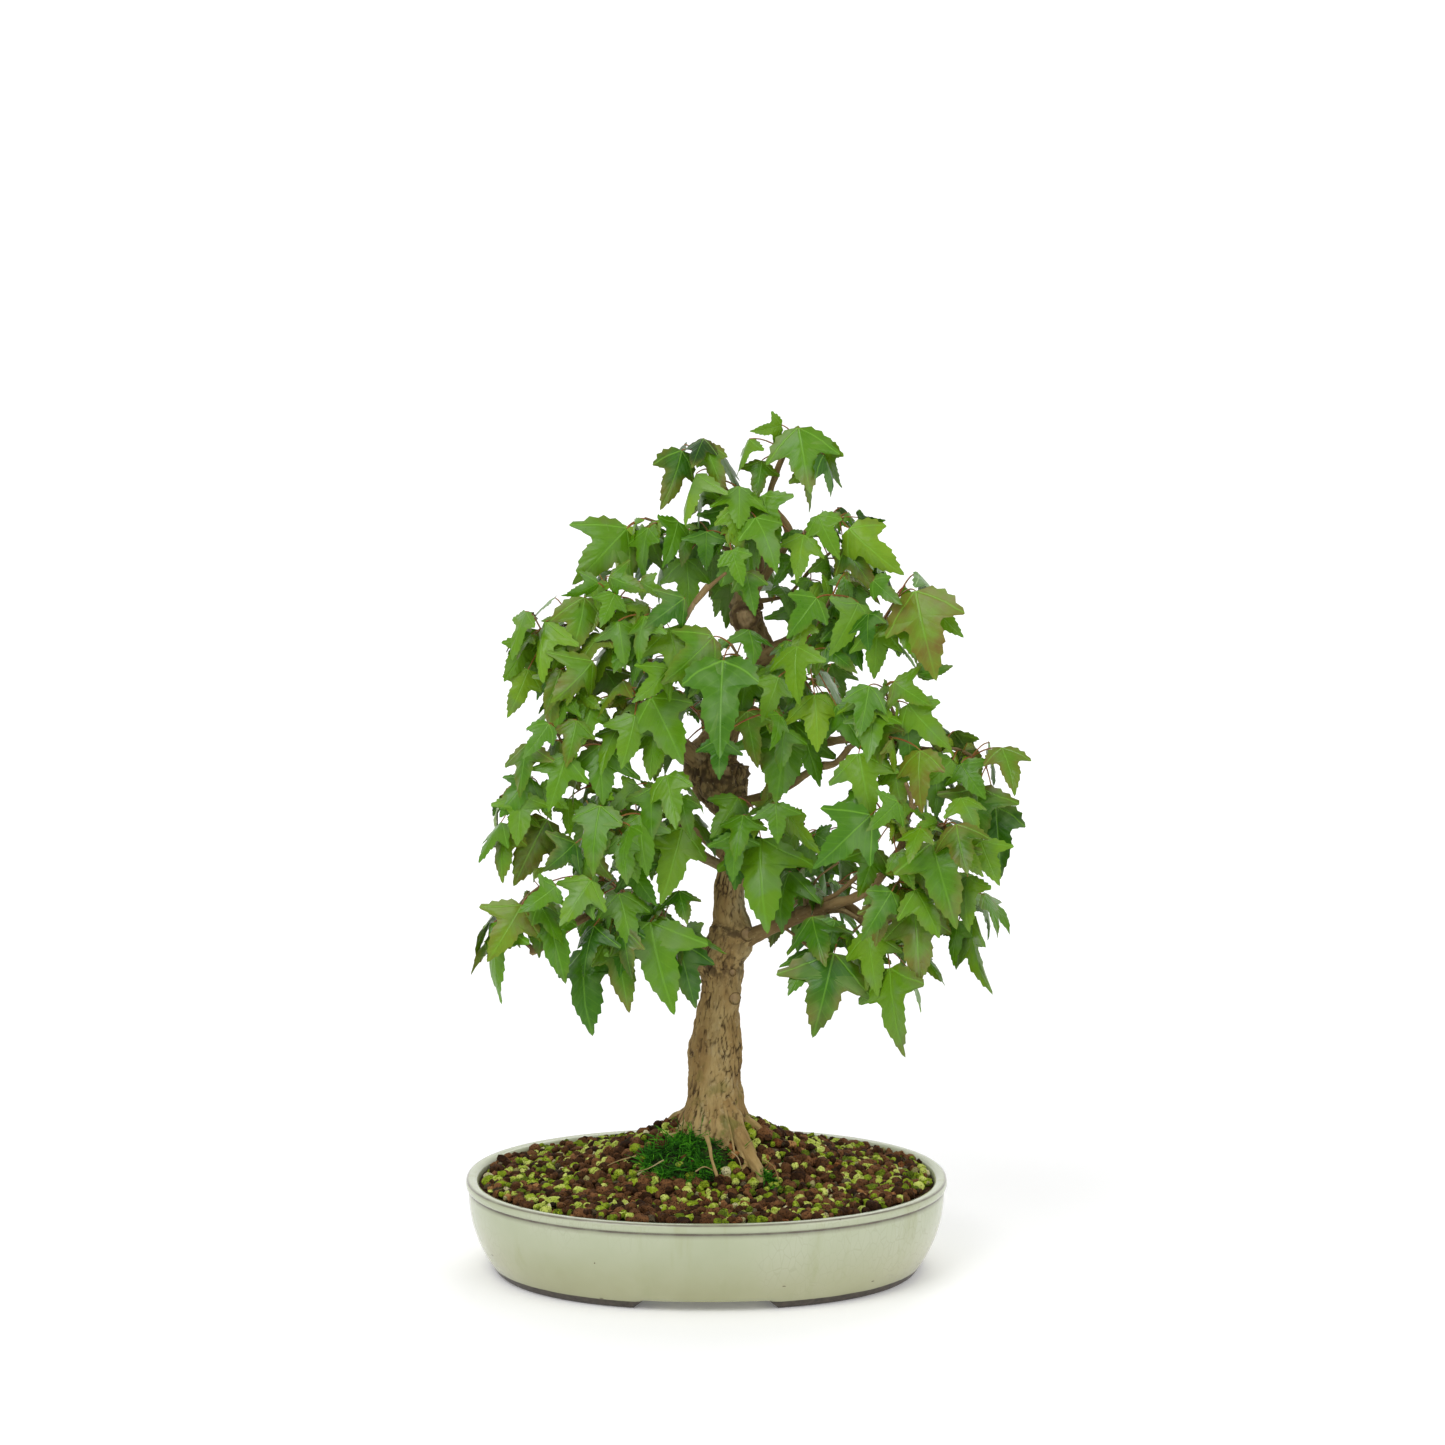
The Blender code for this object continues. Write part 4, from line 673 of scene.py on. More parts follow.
def makeMoss():
    # A low cushion: a lumpy dome over the soil, ragged at the edge, painted dark as the shade between the strands.
    angle = np.linspace(0, 2 * math.pi, 90, endpoint=False)
    share = np.linspace(1, 0.04, 22)[:, None]
    ragged = 1 + 0.34 * smoothNoise(np.stack([np.cos(angle) * 2.4, np.sin(angle) * 2.4, angle * 0], 1), 21)
    x = moss["centre"][0] + moss["half"][0] * 0.92 * share * np.cos(angle) * ragged
    y = moss["centre"][1] + moss["half"][1] * 0.92 * share * np.sin(angle) * ragged
    rise = moss["height"] * (1 - share**4) * 0.45
    lumpy = roughNoise(np.stack([x / 4, y / 4, x * 0], -1), 22) * 1.6 * (1 - share**2)
    top = np.stack([x, y, soilHeight(x, y) - 1.0 + rise + lumpy], -1)
    under = np.stack([x, y, soilHeight(x, y) - 2.6], -1)[::-1]
    points, faces = closedRings(np.concatenate([under, top]))
    # Its colours are painted shade: very dark greens that stand for the shadowed depth under the strands.
    makePiece("mossCushion", placed(points), faces,
              mossLook("mossCushion", (0.006, 0.008, 0.002), (0.015, 0.024, 0.003), (0.04, 0.065, 0.006)),
              ["moss"], {"tone": chance.random(len(points))})
    # Tufts share a root. Loose strands creep out to both sides. Others climb the root on the left.
    tufts, perTuft, loose, onRoot = (moss[key] for key in ("tufts", "perTuft", "loose", "onRoot"))
    turn = chance.uniform(0, 2 * math.pi, tufts)
    out = np.sqrt(chance.random(tufts)) * 1.02
    spot = moss["centre"] + moss["half"] * np.stack([out * np.cos(turn), out * np.sin(turn)], 1)
    vigour = 0.6 + 0.5 * smoothNoise(np.column_stack([spot / 9, turn * 0]), 23)
    tuftSpots = np.repeat(spot, perTuft, axis=0) + chance.normal(0, 0.9, (tufts * perTuft, 2))
    looseSpots = chance.normal(0, 1, (loose, 2)) * [25, 11] + moss["centre"] + [-4, 3]
    rows = smoothPath(np.array(roots[2], float), 0.5)[0]
    pick = chance.integers(len(rows) // 5, len(rows), onRoot)
    lean = chance.uniform(-1.4, 1.4, onRoot)
    rootSpots = rows[pick, :2] + np.stack([np.sin(lean) * 0.4, -np.sin(lean)], 1) * rows[pick, 3:] * 0.9
    spots = np.concatenate([tuftSpots, looseSpots, rootSpots])
    vigours = np.concatenate([np.repeat(vigour, perTuft), np.full(loose, 0.55), np.full(onRoot, 0.62)])
    apart = (spots - moss["centre"]) / moss["half"]
    count = len(spots)
    height = soilHeight(*spots.T) - 0.9 + moss["height"] * 0.45 * np.maximum(0, 1 - np.hypot(*apart.T) ** 4)
    height[-onRoot:] = soilHeight(*rows[pick, :2].T) + rows[pick, 2] + np.cos(lean) * rows[pick, 3] * 0.9
    root = np.column_stack([spots, height])
    aim = unit(np.column_stack([apart * 0.35, np.full(count, 0.7)]) + chance.normal(0, 0.6, (count, 3)))
    aim[:, 2] = np.abs(aim[:, 2])
    curl = unit(chance.normal(size=(count, 3)) - [0.2, 0.3, 1.1])
    length = (chance.uniform(3.5, 10.5, count) * vigours)[:, None]
    t = np.array([0, 0.3, 0.65, 1.0])[:, None]
    # Each strand runs root + aim s + curl s^2.
    paths = root[:, None] + aim[:, None] * length[:, None] * t + curl[:, None] * (length[:, None] * 0.75) * t**2
    radii = chance.uniform(*moss["thick"], (count, 1)) * np.array([0.8, 0.95, 0.8, 0.25])
    points, quads, fans = tubes(placed(paths), radii * mm, 3)
    tone = np.repeat(np.clip(chance.random(count) * 0.9 + vigours * 0.5 - 0.25, 0, 1), len(points) // count)
    makePiece("mossStrands", points, [quads, fans],
              mossLook("mossStrands", (0.008, 0.035, 0.002), (0.022, 0.14, 0.004), (0.1, 0.42, 0.012)), (),
              {"tone": tone})
    print("moss ready")


# Wood. Rows are (x, y, z, radius).

trunk = {
    "sides": 150, "step": 0.85,
    "route": (
        (5, 8, 66, 21), (5, 8, 78, 18.5), (5, 8, 92, 16.2), (5, 8, 108, 15), (6, 8, 130, 14.2),
        (7, 8, 146, 12), (8, 8, 156, 11.2), (9, 8, 168, 11.8), (9, 8, 179, 12), (12, 8, 190, 11.4),
        (14, 8, 199, 10), (13, 7, 208, 9.2), (13, 5, 220, 8.3), (14, 3, 232, 7.6), (16, 1, 244, 7.2),
        (17, 1, 254, 7.6), (14, 2, 264, 9), (10, 4, 273, 12), (7, 5, 281, 14.5), (5, 8, 291, 13),
        (8, 12, 303, 9.5), (15, 15, 317, 7.6), (23, 14, 332, 7), (30, 12, 345, 7.6), (32, 10, 354, 7.8),
        (27, 8, 364, 7.6), (22, 6, 376, 8.6), (23, 6, 387, 6.8), (28, 6, 404, 4.6), (26, 4, 424, 3.2),
    ),
    # knobs and collars: (z, azimuth in degrees from +X, height, spread)
    "knobs": (
        (78, -62, 5, 12), (78, 195, 5, 13), (78, 120, 4, 12), (80, 25, 4, 12), (124, 170, 1.5, 14),
        (158, -50, 2.2, 6), (176, 178, 3.6, 8), (188, 5, 3.6, 9), (196, -45, 2.4, 6), (210, -120, 1.6, 6),
        (272, 0, 2, 8), (284, 10, 3, 9), (290, 185, 4, 9), (300, 160, 3, 8), (282, -90, 2, 8),
        (345, 200, 2, 7), (376, -90, 2.4, 6), (382, 20, 1.8, 6),
    ),
    # healed cuts: (z, azimuth, radius of the scar)
    "scars": ((158, -52, 3.6), (196, -47, 3.2), (172, -60, 2.2), (376, -92, 5.5), (284, -70, 3.5), (268, -30, 2.4)),
    # burls: (z, half height, depth)
    "gnarls": ((284, 15, 1.9), (377, 10, 1.5), (176, 9, 0.9), (262, 7, 0.9), (196, 6, 0.7)),
    # how tan the bark is: (z, share)
    "age": ((60, 1.0), (170, 0.95), (250, 0.6), (330, 0.35), (430, 0.2)),
}
roots = (
    ((9, 2, 12, 9), (16, -8, 7, 5.6), (23, -18, 4, 4.1), (30, -30, 2, 3.3), (34, -41, -4, 2.5)),
    ((20, -15, 4, 3.4), (22, -25, 1, 2.3), (20, -36, -4, 1.3)),
    ((29, -29, 2, 2.2), (35, -34, 0, 1.6), (41, -37, -4, 0.9)),
    ((3, 6, 5, 8.5), (-14, -1, 0, 4.4), (-28, -8, -3, 3.4), (-40, -14, -7, 2.6)),
    ((0, 12, 5, 10), (-12, 24, 2, 6), (-26, 36, -1, 4.4), (-38, 46, -6, 3)),
    ((8, 12, 5, 9), (22, 22, 0, 4.4), (36, 32, -2, 3.4), (48, 40, -6, 2.4)),
    ((7, 8, 5, 9), (26, 5, 0, 3.8), (40, 0, -3, 2.8), (54, -6, -7, 2.2)),
)
limbs = {
    "limb_right_low": (6.6, 2.2, ((10, 8, 184), (24, 5, 191), (39, -5, 200), (57, -14, 209), (78, -22, 214),
                                  (91, -30, 206), (103, -36, 211), (112, -42, 220), (122, -46, 235))),
    "limb_right_low_riser": (3.4, 2.2, ((53, -12, 208), (83, -34, 222), (94, -44, 232), (102, -50, 245),
                                        (109, -54, 258), (108, -56, 276))),
    "limb_left_low": (4.6, 1.8, ((9, 8, 168), (-5, 3, 177), (-18, -3, 190), (-34, -10, 197), (-49, -16, 204),
                                 (-62, -20, 210), (-76, -26, 204), (-90, -30, 194), (-98, -32, 190))),
    "limb_left_mid": (3.6, 1.8, ((14, 3, 230), (-1, 1, 238), (-12, -2, 246), (-30, -12, 253), (-47, -22, 258),
                                 (-60, -28, 259), (-70, -30, 269), (-82, -34, 274))),
    "limb_left_upper_mid": (7.4, 3.4, ((6, 6, 284), (-9, 0, 298), (-23, -8, 307), (-38, -14, 308),
                                       (-52, -20, 306), (-60, -24, 305), (-67, -28, 310))),
    "limb_left_up": (3.8, 1.7, ((25, 12, 334), (0, 0, 340), (-19, -8, 347), (-33, -14, 352), (-42, -18, 352),
                                (-52, -22, 360), (-63, -26, 366))),
    "limb_right_mid": (4.4, 1.8, ((14, 2, 264), (24, -4, 271), (36, -14, 277), (51, -24, 287), (62, -30, 295),
                                  (72, -34, 298), (80, -38, 308))),
    "limb_right_upper_mid": (4.4, 2.0, ((18, 14, 321), (47, -8, 314), (66, -18, 308), (80, -24, 310),
                                        (92, -28, 308), (110, -34, 308))),
    "limb_right_up": (6.2, 2.4, ((31, 9, 350), (43, 0, 359), (53, -6, 364), (65, -12, 359), (77, -18, 362),
                                 (91, -24, 366))),
    "leader": (3.8, 1.5, ((24, 6, 388), (36, 0, 403), (46, -2, 423), (36, -2, 441), (39, -2, 456), (43, -2, 466))),
    "limb_back_low": (5, 2, ((13, 7, 214), (14, 28, 226), (8, 46, 232), (-6, 62, 242), (-14, 78, 246))),
}

# thick end, thin end, route
sprigs = {
    "twigs": (
        (2.2, 1.3, ((57, -14, 211), (65, -20, 217), (74, -26, 223), (85, -32, 234))),
        (1.2, 0.6, ((56, -12, 211), (58, -15, 220), (63, -22, 231), (74, -30, 241))),
        (1.6, 0.8, ((32, 0, 202), (42, -6, 200), (50, -14, 196), (60, -22, 189))),
        (1.0, 0.6, ((74, -22, 200), (80, -27, 199), (86, -30, 205), (103, -36, 221))),
        (1.9, 1.3, ((-19, -8, 347), (-18, -24, 356), (-16, -38, 368), (-12, -44, 379), (-5, -46, 391), (1, -48, 399))),
        (1.4, 1.0, ((-6, -46, 389), (3, -48, 399), (11, -50, 406))),
        (1.4, 1.1, ((109, -55, 266), (112, -56, 273), (113, -57, 281), (110, -60, 291))),
        (1.3, 1.0, ((112, -56, 273), (117, -57, 281), (121, -60, 290))),
        (1.8, 0.9, ((66, -18, 210), (74, -26, 214), (79, -30, 213), (85, -34, 210))),
        (0.9, 0.5, ((74, -27, 214), (78, -31, 218), (80, -33, 220))),
        (1.2, 0.6, ((-30, -9, 197), (-36, -20, 206), (-46, -27, 214))),
        (1.2, 0.6, ((-62, -20, 210), (-70, -28, 218), (-74, -33, 228))),
        (1.2, 0.6, ((-12, -2, 246), (-20, -14, 240), (-29, -20, 232))),
        (1.3, 0.6, ((-33, -14, 352), (-42, -22, 362), (-55, -26, 370))),
        (1.4, 0.7, ((36, -14, 277), (44, -20, 268), (55, -26, 262))),
        (1.2, 0.6, ((43, 0, 359), (52, -12, 346), (58, -18, 338))),
    ),
    "fibres": (
        (0.9, 0.5, ((10, -7, 96), (12, -12, 89), (14, -17, 82), (16, -21, 72))),
        (0.9, 0.5, ((17, 13, 94), (21, 15, 88), (24, 16, 83), (29, 18, 75))),
        (1.3, 0.8, ((0, -33, 85), (2, -35, 79), (3, -38, 73), (6, -42, 64))),
        (0.45, 0.25, ((-6, -40, 66), (-1, -41, 69), (5, -40, 66))),
        (0.4, 0.2, ((14, -34, 76), (18, -37, 73), (20, -42, 68))),
        (0.5, 0.3, ((32, -33, 71), (38, -37, 68), (41, -44, 62))),
        (0.45, 0.2, ((-24, -30, 70), (-33, -34, 66), (-40, -33, 64))),
        (0.5, 0.25, ((-40, -14, 68), (-50, -17, 66), (-60, -15, 61))),
    ),
}


def barkLook():
    # Tan plates with thin dark fissures, greyer on the crown's wood, dark and mottled on its burls.
    look, tree, surface = newLook("mapleBark", Roughness=0.85, Specular_IOR_Level=0.2)
    coords = read(tree, "bark", True)
    relief, age, scar, gnarl = (read(tree, name) for name in ("relief", "age", "scar", "gnarl"))
    patch = grain(tree, coords, 60, 4, (1, 1, 0.5))
    fine = grain(tree, coords, 420, 6, (1, 1, 0.22), 0.65)
    old = ramp(tree, patch, [(0.28, (0.25, 0.15, 0.052)), (0.46, (0.36, 0.24, 0.09)), (0.6, (0.44, 0.32, 0.135)),
                             (0.78, (0.41, 0.35, 0.2))])
    young = ramp(tree, patch, [(0.3, (0.1, 0.063, 0.026)), (0.55, (0.19, 0.13, 0.058)), (0.75, (0.29, 0.22, 0.12))])
    colour = blendColours(tree, age, young, old)
    colour = blendColours(tree, times(tree, fade(tree, fine, 0.47, 0.72), 0.5), colour, (0.13, 0.075, 0.028))
    pale = times(tree, fade(tree, grain(tree, coords, 150, 4, (1, 1, 0.4)), 0.56, 0.72), 0.4)
    colour = blendColours(tree, times(tree, pale, age), colour, (0.54, 0.45, 0.25))
    crack = fade(tree, times(tree, relief, -1.0), 0.1, 0.8)
    colour = blendColours(tree, times(tree, crack, 0.9), colour, (0.045, 0.024, 0.009))
    knotted = times(tree, gnarl, fade(tree, grain(tree, coords, 230, 4), 0.42, 0.6))
    colour = blendColours(tree, calc(tree, "MULTIPLY", knotted, 0.8, clamp=True), colour, (0.05, 0.03, 0.014))
    rim = calc(tree, "SUBTRACT", fade(tree, scar, 0.12, 0.3), fade(tree, scar, 0.34, 0.52))
    colour = blendColours(tree, times(tree, rim, 0.75), colour, (0.07, 0.04, 0.018))
    cut = blendColours(tree, grain(tree, coords, 300, 4), (0.25, 0.15, 0.065), (0.58, 0.43, 0.24))
    colour = blendColours(tree, times(tree, fade(tree, scar, 0.45, 0.75), 0.85), colour, cut)
    spotty = cells(tree, coords, 330).outputs[0]
    colour = blendColours(tree, times(tree, calc(tree, "LESS_THAN", spotty, 0.13), 0.35), colour,
                          (0.5, 0.42, 0.24))
    high = add(tree, "SeparateXYZ", {0: place(tree)}).outputs[2]
    damp = inverse(tree, fade(tree, high, 0.078, 0.14))
    algae = times(tree, damp, fade(tree, grain(tree, place(tree), 110, 4), 0.5, 0.68))
    colour = blendColours(tree, times(tree, algae, 0.6), colour, (0.13, 0.15, 0.025))
    wire(tree, colour, surface.inputs["Base Color"])
    height = scaled(tree, fine, 0.7, times(tree, patch, 0.4))
    bump(tree, surface, height, 0.0011, 0.8)
    return look


def barkRelief(straight, strength):
    # Long plates with thin cracks between them, lifted unevenly, over low swells. Millimetres.
    stretched = straight * [1 / 2.5, 1 / 2.5, 1 / 7.5]
    warped = stretched + 0.4 * np.stack([smoothNoise(straight / 6, 40 + k) for k in range(3)], -1)
    near, second, number = plates(warped, 50)
    crack = -np.exp(-(((second - near) / 0.13) ** 2)) * (0.55 + 0.45 * smoothNoise(straight / [8, 8, 14], 44))
    flake = np.clip(number * 1.6, -1, 1)
    small = roughNoise(straight * [0.6, 0.6, 0.2], 60)
    return (crack * 0.9 + flake * 0.16 + small * 0.4) * strength


def woodTube(route, sides, step, strength, age, knobs=(), scars=(), gnarls=(), flare=0.0, knuckle=0.1):
    # A route's skin with swells, knuckles, knobs, healed cuts, burls and bark. Returns its parts and attributes.
    rows, along = smoothPath(route, step)
    path = placed(rows[:, :3])
    radius = rows[:, 3:]
    angle = np.linspace(0, 2 * math.pi, sides, endpoint=False)
    straight = np.stack(np.broadcast_arrays(radius * np.cos(angle), radius * np.sin(angle), along[:, None]), -1)
    straight = straight + np.abs(rows[0, :3]).sum()
    swell = 1 + knuckle * smoothNoise(straight / [9, 9, 7], 31) + flare * np.exp(-along / (radius[0] * 1.3))[:, None]
    relief = barkRelief(straight, strength * np.minimum(1, radius / 8))
    reach = radius * swell + relief
    across, other = (part[0] for part in ringFrames(path[None])[1:])
    out = across[:, None] * np.cos(angle)[:, None] + other[:, None] * np.sin(angle)[:, None]
    azimuth = np.arctan2(out[..., 1], out[..., 0])
    scar = np.zeros(reach.shape)
    gnarl = np.zeros(reach.shape)
    for height, spread, depth in gnarls:
        gnarl = gnarl + np.exp(-(((rows[:, 2:3] - height) / spread) ** 2))
        reach = reach + depth * roughNoise(straight / 3.4, 90) * np.exp(-(((rows[:, 2:3] - height) / spread) ** 2))
    for height, turn, rise, spread in knobs:
        off = np.angle(np.exp(1j * (azimuth - math.radians(turn)))) * radius
        reach = reach + rise * np.exp(-(((rows[:, 2:3] - height) ** 2 + off**2) / spread**2))
    for height, turn, size in scars:
        off = np.angle(np.exp(1j * (azimuth - math.radians(turn)))) * radius
        far = np.hypot(rows[:, 2:3] - height, off) / size
        lip = 1.5 * np.exp(-(((far - 1) / 0.28) ** 2))
        hollow = -1.7 * np.exp(-((far / 0.72) ** 4))
        reach = reach + (lip + hollow) * min(1, size / 4)
        scar = np.maximum(scar, np.clip(1.25 - far, 0, 1))
    parts = tubes(path[None], (reach * mm)[None], sides)
    years = np.broadcast_to(np.interp(rows[:, 2], *zip(*age)) if np.ndim(age) else age, len(rows))
    values = {}
    for key, field in (("relief", relief / max(strength, 0.01)), ("scar", scar), ("gnarl", np.clip(gnarl, 0, 1)),
                       ("age", np.repeat(years[:, None], sides, axis=1))):
        values[key] = np.append(field.ravel(), [field[0, 0], field[-1, -1]])
    values["bark"] = np.concatenate([straight.reshape(-1, 3), straight[:1, 0], straight[-1:, 0]]) * mm
    return parts, values


def makeWood(name, made, replaced=()):
    # Several wood tubes as one piece.
    points, faces = joined([parts for parts, _ in made])
    values = {key: np.concatenate([value[key] for _, value in made]) for key in made[0][1]}
    makePiece(name, points, faces, woodLook, replaced, values)


def limbRoute(thick, thin, route):
    share = np.sqrt(np.linspace(0, 1, len(route)))
    return np.column_stack([route, thick + (thin - thick) * share])


def pieceName(node, prefix=""):
    words = node.split("_")
    return (prefix or words[0]) + "".join(word.capitalize() for word in words[1:])


def makeTree():
    made = woodTube(trunk["route"], trunk["sides"], trunk["step"], 0.95, trunk["age"], trunk["knobs"], trunk["scars"],
                    trunk["gnarls"], knuckle=0.06)
    makeWood("trunkBark", [made], ["trunk"])
    made = []
    for root in roots:
        rows = np.array(root, float)
        rows[:, 2] += soilHeight(rows[:, 0], rows[:, 1])
        made.append(woodTube(rows, 40, 1.0, 0.7, 1.0, knuckle=0.18))
    makeWood("surfaceRoots", made)
    for node, (thick, thin, route) in limbs.items():
        made = woodTube(limbRoute(thick, thin, route), 40 if thick > 4 else 30, 0.9, 0.75, 0.3,
                        flare=0.35, knuckle=0.2)
        makeWood(pieceName(node), [made], [node])
    for name, years, routes in (("fineTwigs", 0.25, sprigs["twigs"]), ("rootFibres", 0.9, sprigs["fibres"])):
        makeWood(name, [woodTube(limbRoute(thick, thin, route), 12, 0.9, 0.3, years, knuckle=0.25)
                        for thick, thin, route in routes])
    print("wood ready")


# Shoots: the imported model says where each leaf's stalk, base, lobes and tip are.

leaf = {
    # half of the outline, from the stalk round the side lobe to the tip, as shares of the blade's length
    "outline": (
        (0.03, 0.0), (0.1, -0.015), (0.175, -0.008), (0.24, 0.018), (0.3, 0.058), (0.35, 0.1), (0.4, 0.152),
        (0.435, 0.21), (0.475, 0.27), (0.515, 0.338), (0.45, 0.348), (0.385, 0.35), (0.32, 0.362), (0.255, 0.368),
        (0.185, 0.395), (0.2, 0.45), (0.2, 0.51), (0.205, 0.565), (0.19, 0.63), (0.172, 0.69), (0.145, 0.75),
        (0.12, 0.81), (0.092, 0.862), (0.062, 0.915), (0.03, 0.965), (0, 1.02),
    ),
    "tooth": 0.019, "middle": 0.3, "thick": 0.3, "stalk": 0.42, "stalkSides": 4,
    # small new leaves along each twig: how many, their length, and their stalk's length
    "young": 7, "youngLength": (9, 19), "youngStalk": (4, 9),
}


def leafLook():
    # Veins are drawn from the blade's own map: u across, v along, both as shares of its length.
    look, tree, surface = newLook("mapleLeaf", Roughness=0.36, Specular_IOR_Level=0.3)
    coords = place(tree)
    tone, bronze, under, stalk, edge = (read(tree, name) for name in ("tone", "bronze", "under", "stalk", "edge"))
    uv = add(tree, "SeparateXYZ", {0: add(tree, "UVMap", uv_map="bladeMap").outputs[0]})
    u, v = calc(tree, "ABSOLUTE", uv.outputs[0]), uv.outputs[1]
    mottle = grain(tree, coords, 120, 4)
    broad = grain(tree, coords, 48, 2)
    # The tone attribute carries painted light and shade across the crown as well as each leaf's own colour.
    mixed = scaled(tree, mottle, 0.25, calc(tree, "SUBTRACT", tone, 0.125))
    green = ramp(tree, mixed, [(0.05, (0.012, 0.05, 0.001)), (0.28, (0.033, 0.132, 0.001)),
                               (0.5, (0.078, 0.212, 0.002)), (0.75, (0.13, 0.27, 0.006)), (1.0, (0.22, 0.36, 0.012))])
    # Painted sheen: pale grey-green patches stand in for the white room's reflection on the blades.
    paintedSheen = times(tree, fade(tree, broad, 0.5, 0.64), 0.6)
    green = blendColours(tree, paintedSheen, green, (0.12, 0.24, 0.055))
    rusty = ramp(tree, mottle, [(0.3, (0.15, 0.075, 0.01)), (0.5, (0.16, 0.14, 0.014)), (0.7, (0.14, 0.21, 0.018))])
    rim = times(tree, calc(tree, "POWER", edge, 2.0), 0.3)
    blotch = calc(tree, "ADD", calc(tree, "ADD", bronze, rim), scaled(tree, broad, 1.0, -0.5))
    colour = blendColours(tree, times(tree, fade(tree, blotch, 0.3, 1.0), 0.85), green, rusty)
    # Distance from the midrib, and from the line between the base and the side lobe's tip.
    lobeLine = calc(tree, "ABSOLUTE", calc(tree, "SUBTRACT", times(tree, v, 0.835),
                                           times(tree, u, 0.55)))
    lobeLine = calc(tree, "ADD", lobeLine, calc(tree, "GREATER_THAN", v, 0.34))
    main = calc(tree, "MINIMUM", u, lobeLine)
    mainVein = inverse(tree, fade(tree, main, 0.003, 0.017))
    mainVein = times(tree, mainVein, inverse(tree, times(tree, v, 0.75)))
    ribs = calc(tree, "FRACT", times(tree, calc(tree, "SUBTRACT", v, times(tree, u, 0.85)), 8.0))
    rib = calc(tree, "ABSOLUTE", calc(tree, "SUBTRACT", ribs, 0.5))
    sideVein = inverse(tree, fade(tree, rib, 0.02, 0.1))
    vein = calc(tree, "MAXIMUM", times(tree, mainVein, 0.6), times(tree, sideVein, 0.1))
    colour = blendColours(tree, vein, colour, (0.18, 0.42, 0.03))
    colour = blendColours(tree, times(tree, under, 0.5), colour, (0.2, 0.3, 0.08))
    stem = ramp(tree, mottle, [(0.3, (0.24, 0.06, 0.02)), (0.6, (0.3, 0.14, 0.03)), (0.8, (0.24, 0.27, 0.04))])
    wire(tree, blendColours(tree, stalk, colour, stem), surface.inputs["Base Color"])
    shine = scaled(tree, mottle, 0.24, scaled(tree, under, 0.25, 0.2))
    wire(tree, shine, surface.inputs["Roughness"])
    quilt = calc(tree, "SUBTRACT", times(tree, rib, 0.5), times(tree, mainVein, 0.8))
    bump(tree, surface, scaled(tree, grain(tree, coords, 500, 3), 0.3, quilt), 0.0005, 0.5)
    return look


def bladeShape():
    # The outline with its teeth, both halves, and half-way rings towards the blade's middle.
    half = np.array(leaf["outline"])
    pivot = np.array([0, leaf["middle"]])
    out = unit(half - pivot)
    tooth = np.where(np.arange(len(half)) % 2 == 0, 1, -1) * leaf["tooth"]
    tooth[[0, 1, -1]] = 0
    half = half + out * tooth[:, None]
    whole = np.concatenate([half, half[-2::-1] * [-1, 1]])
    return pivot + (whole - pivot) * [0.45, 0.55], whole


def splitRing(ring):
    # A ring's midrib corner faces its longest side. Returns it and the middle of the other two.
    side = np.linalg.norm(ring[:, [1, 2, 0]] - ring[:, [2, 0, 1]], axis=2)
    rib = ring[np.arange(len(ring)), side.argmax(1)]
    return rib, (ring.sum(1) - rib) / 2


def readShoot(node):
    # Welded, a leaf's tip is a corner with three neighbours. Going inwards from it, three corners at a
    # time, come the notches, the lobes, the blade's base, and the place on the twig. The rest is twig.
    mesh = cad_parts[node].data
    spots = np.empty(len(mesh.vertices) * 3, np.float32)
    mesh.vertices.foreach_get("co", spots)
    corners = np.empty(len(mesh.loops), np.int32)
    mesh.loops.foreach_get("vertex_index", corners)
    keys, index = np.unique(np.round(spots.reshape(-1, 3) / 1e-6), axis=0, return_inverse=True)
    points = keys * 1e-6
    faces = index.reshape(-1)[corners].reshape(-1, 3)
    near = np.zeros((len(points), len(points)), bool)
    near[faces, np.roll(faces, 1, axis=1)] = True
    near |= near.T
    tips = np.flatnonzero(near.sum(1) == 3)
    seen = np.eye(len(points), dtype=bool)[tips]
    front = seen
    layers = []
    for _ in range(4):
        front = (front.astype(int) @ near > 0) & ~seen
        layers.append(points[np.nonzero(front)[1].reshape(-1, 3)])
        if len(layers) < 4:
            seen = seen | front
    twig = np.flatnonzero(~seen.any(0))
    return points[tips], layers, points[twig], near[np.ix_(twig, twig)]


def twigRows(spots, near):
    # The twig's rings stand in close groups. Linked groups, from the thicker end on, give its line.
    apart = np.linalg.norm(spots[:, None] - spots[None], axis=2)
    group = np.arange(len(spots))
    close = apart < 1.83 * mm
    for _ in range(8):
        group = np.where(close, group[None], len(spots)).min(1)
    names, member = np.unique(group, return_inverse=True)
    member = member.reshape(-1)
    middles = np.stack([spots[member == k].mean(0) for k in range(len(names))])
    wide = np.array([np.linalg.norm(spots[member == k] - middles[k], axis=1).mean() for k in range(len(names))])
    link = np.zeros((len(names), len(names)), bool)
    pairs = np.argwhere(near)
    link[member[pairs[:, 0]], member[pairs[:, 1]]] = True
    np.fill_diagonal(link, False)
    ends = np.flatnonzero(link.sum(1) == 1)
    order = [int(ends[wide[ends].argmax()])]
    while True:
        ahead = [k for k in np.flatnonzero(link[order[-1]]) if k not in order]
        if not ahead:
            return middles[order]
        order.append(int(ahead[0]))


def bladeParts(tips, layers):
    # Where each blade's frame lies: base, along, face and length, read from its corners.
    lobe, base, start = layers[1:]
    rib, level = splitRing(lobe)
    face = unit(rib - level)
    foot = splitRing(base)[1]
    reach = tips - foot
    sink = (reach * face).sum(1, keepdims=True)
    along = unit(reach - face * sink)
    length = np.linalg.norm(reach - face * sink, axis=1)
    return foot, along, face, np.cross(along, face), length, sink[:, 0] / length, start.mean(1)


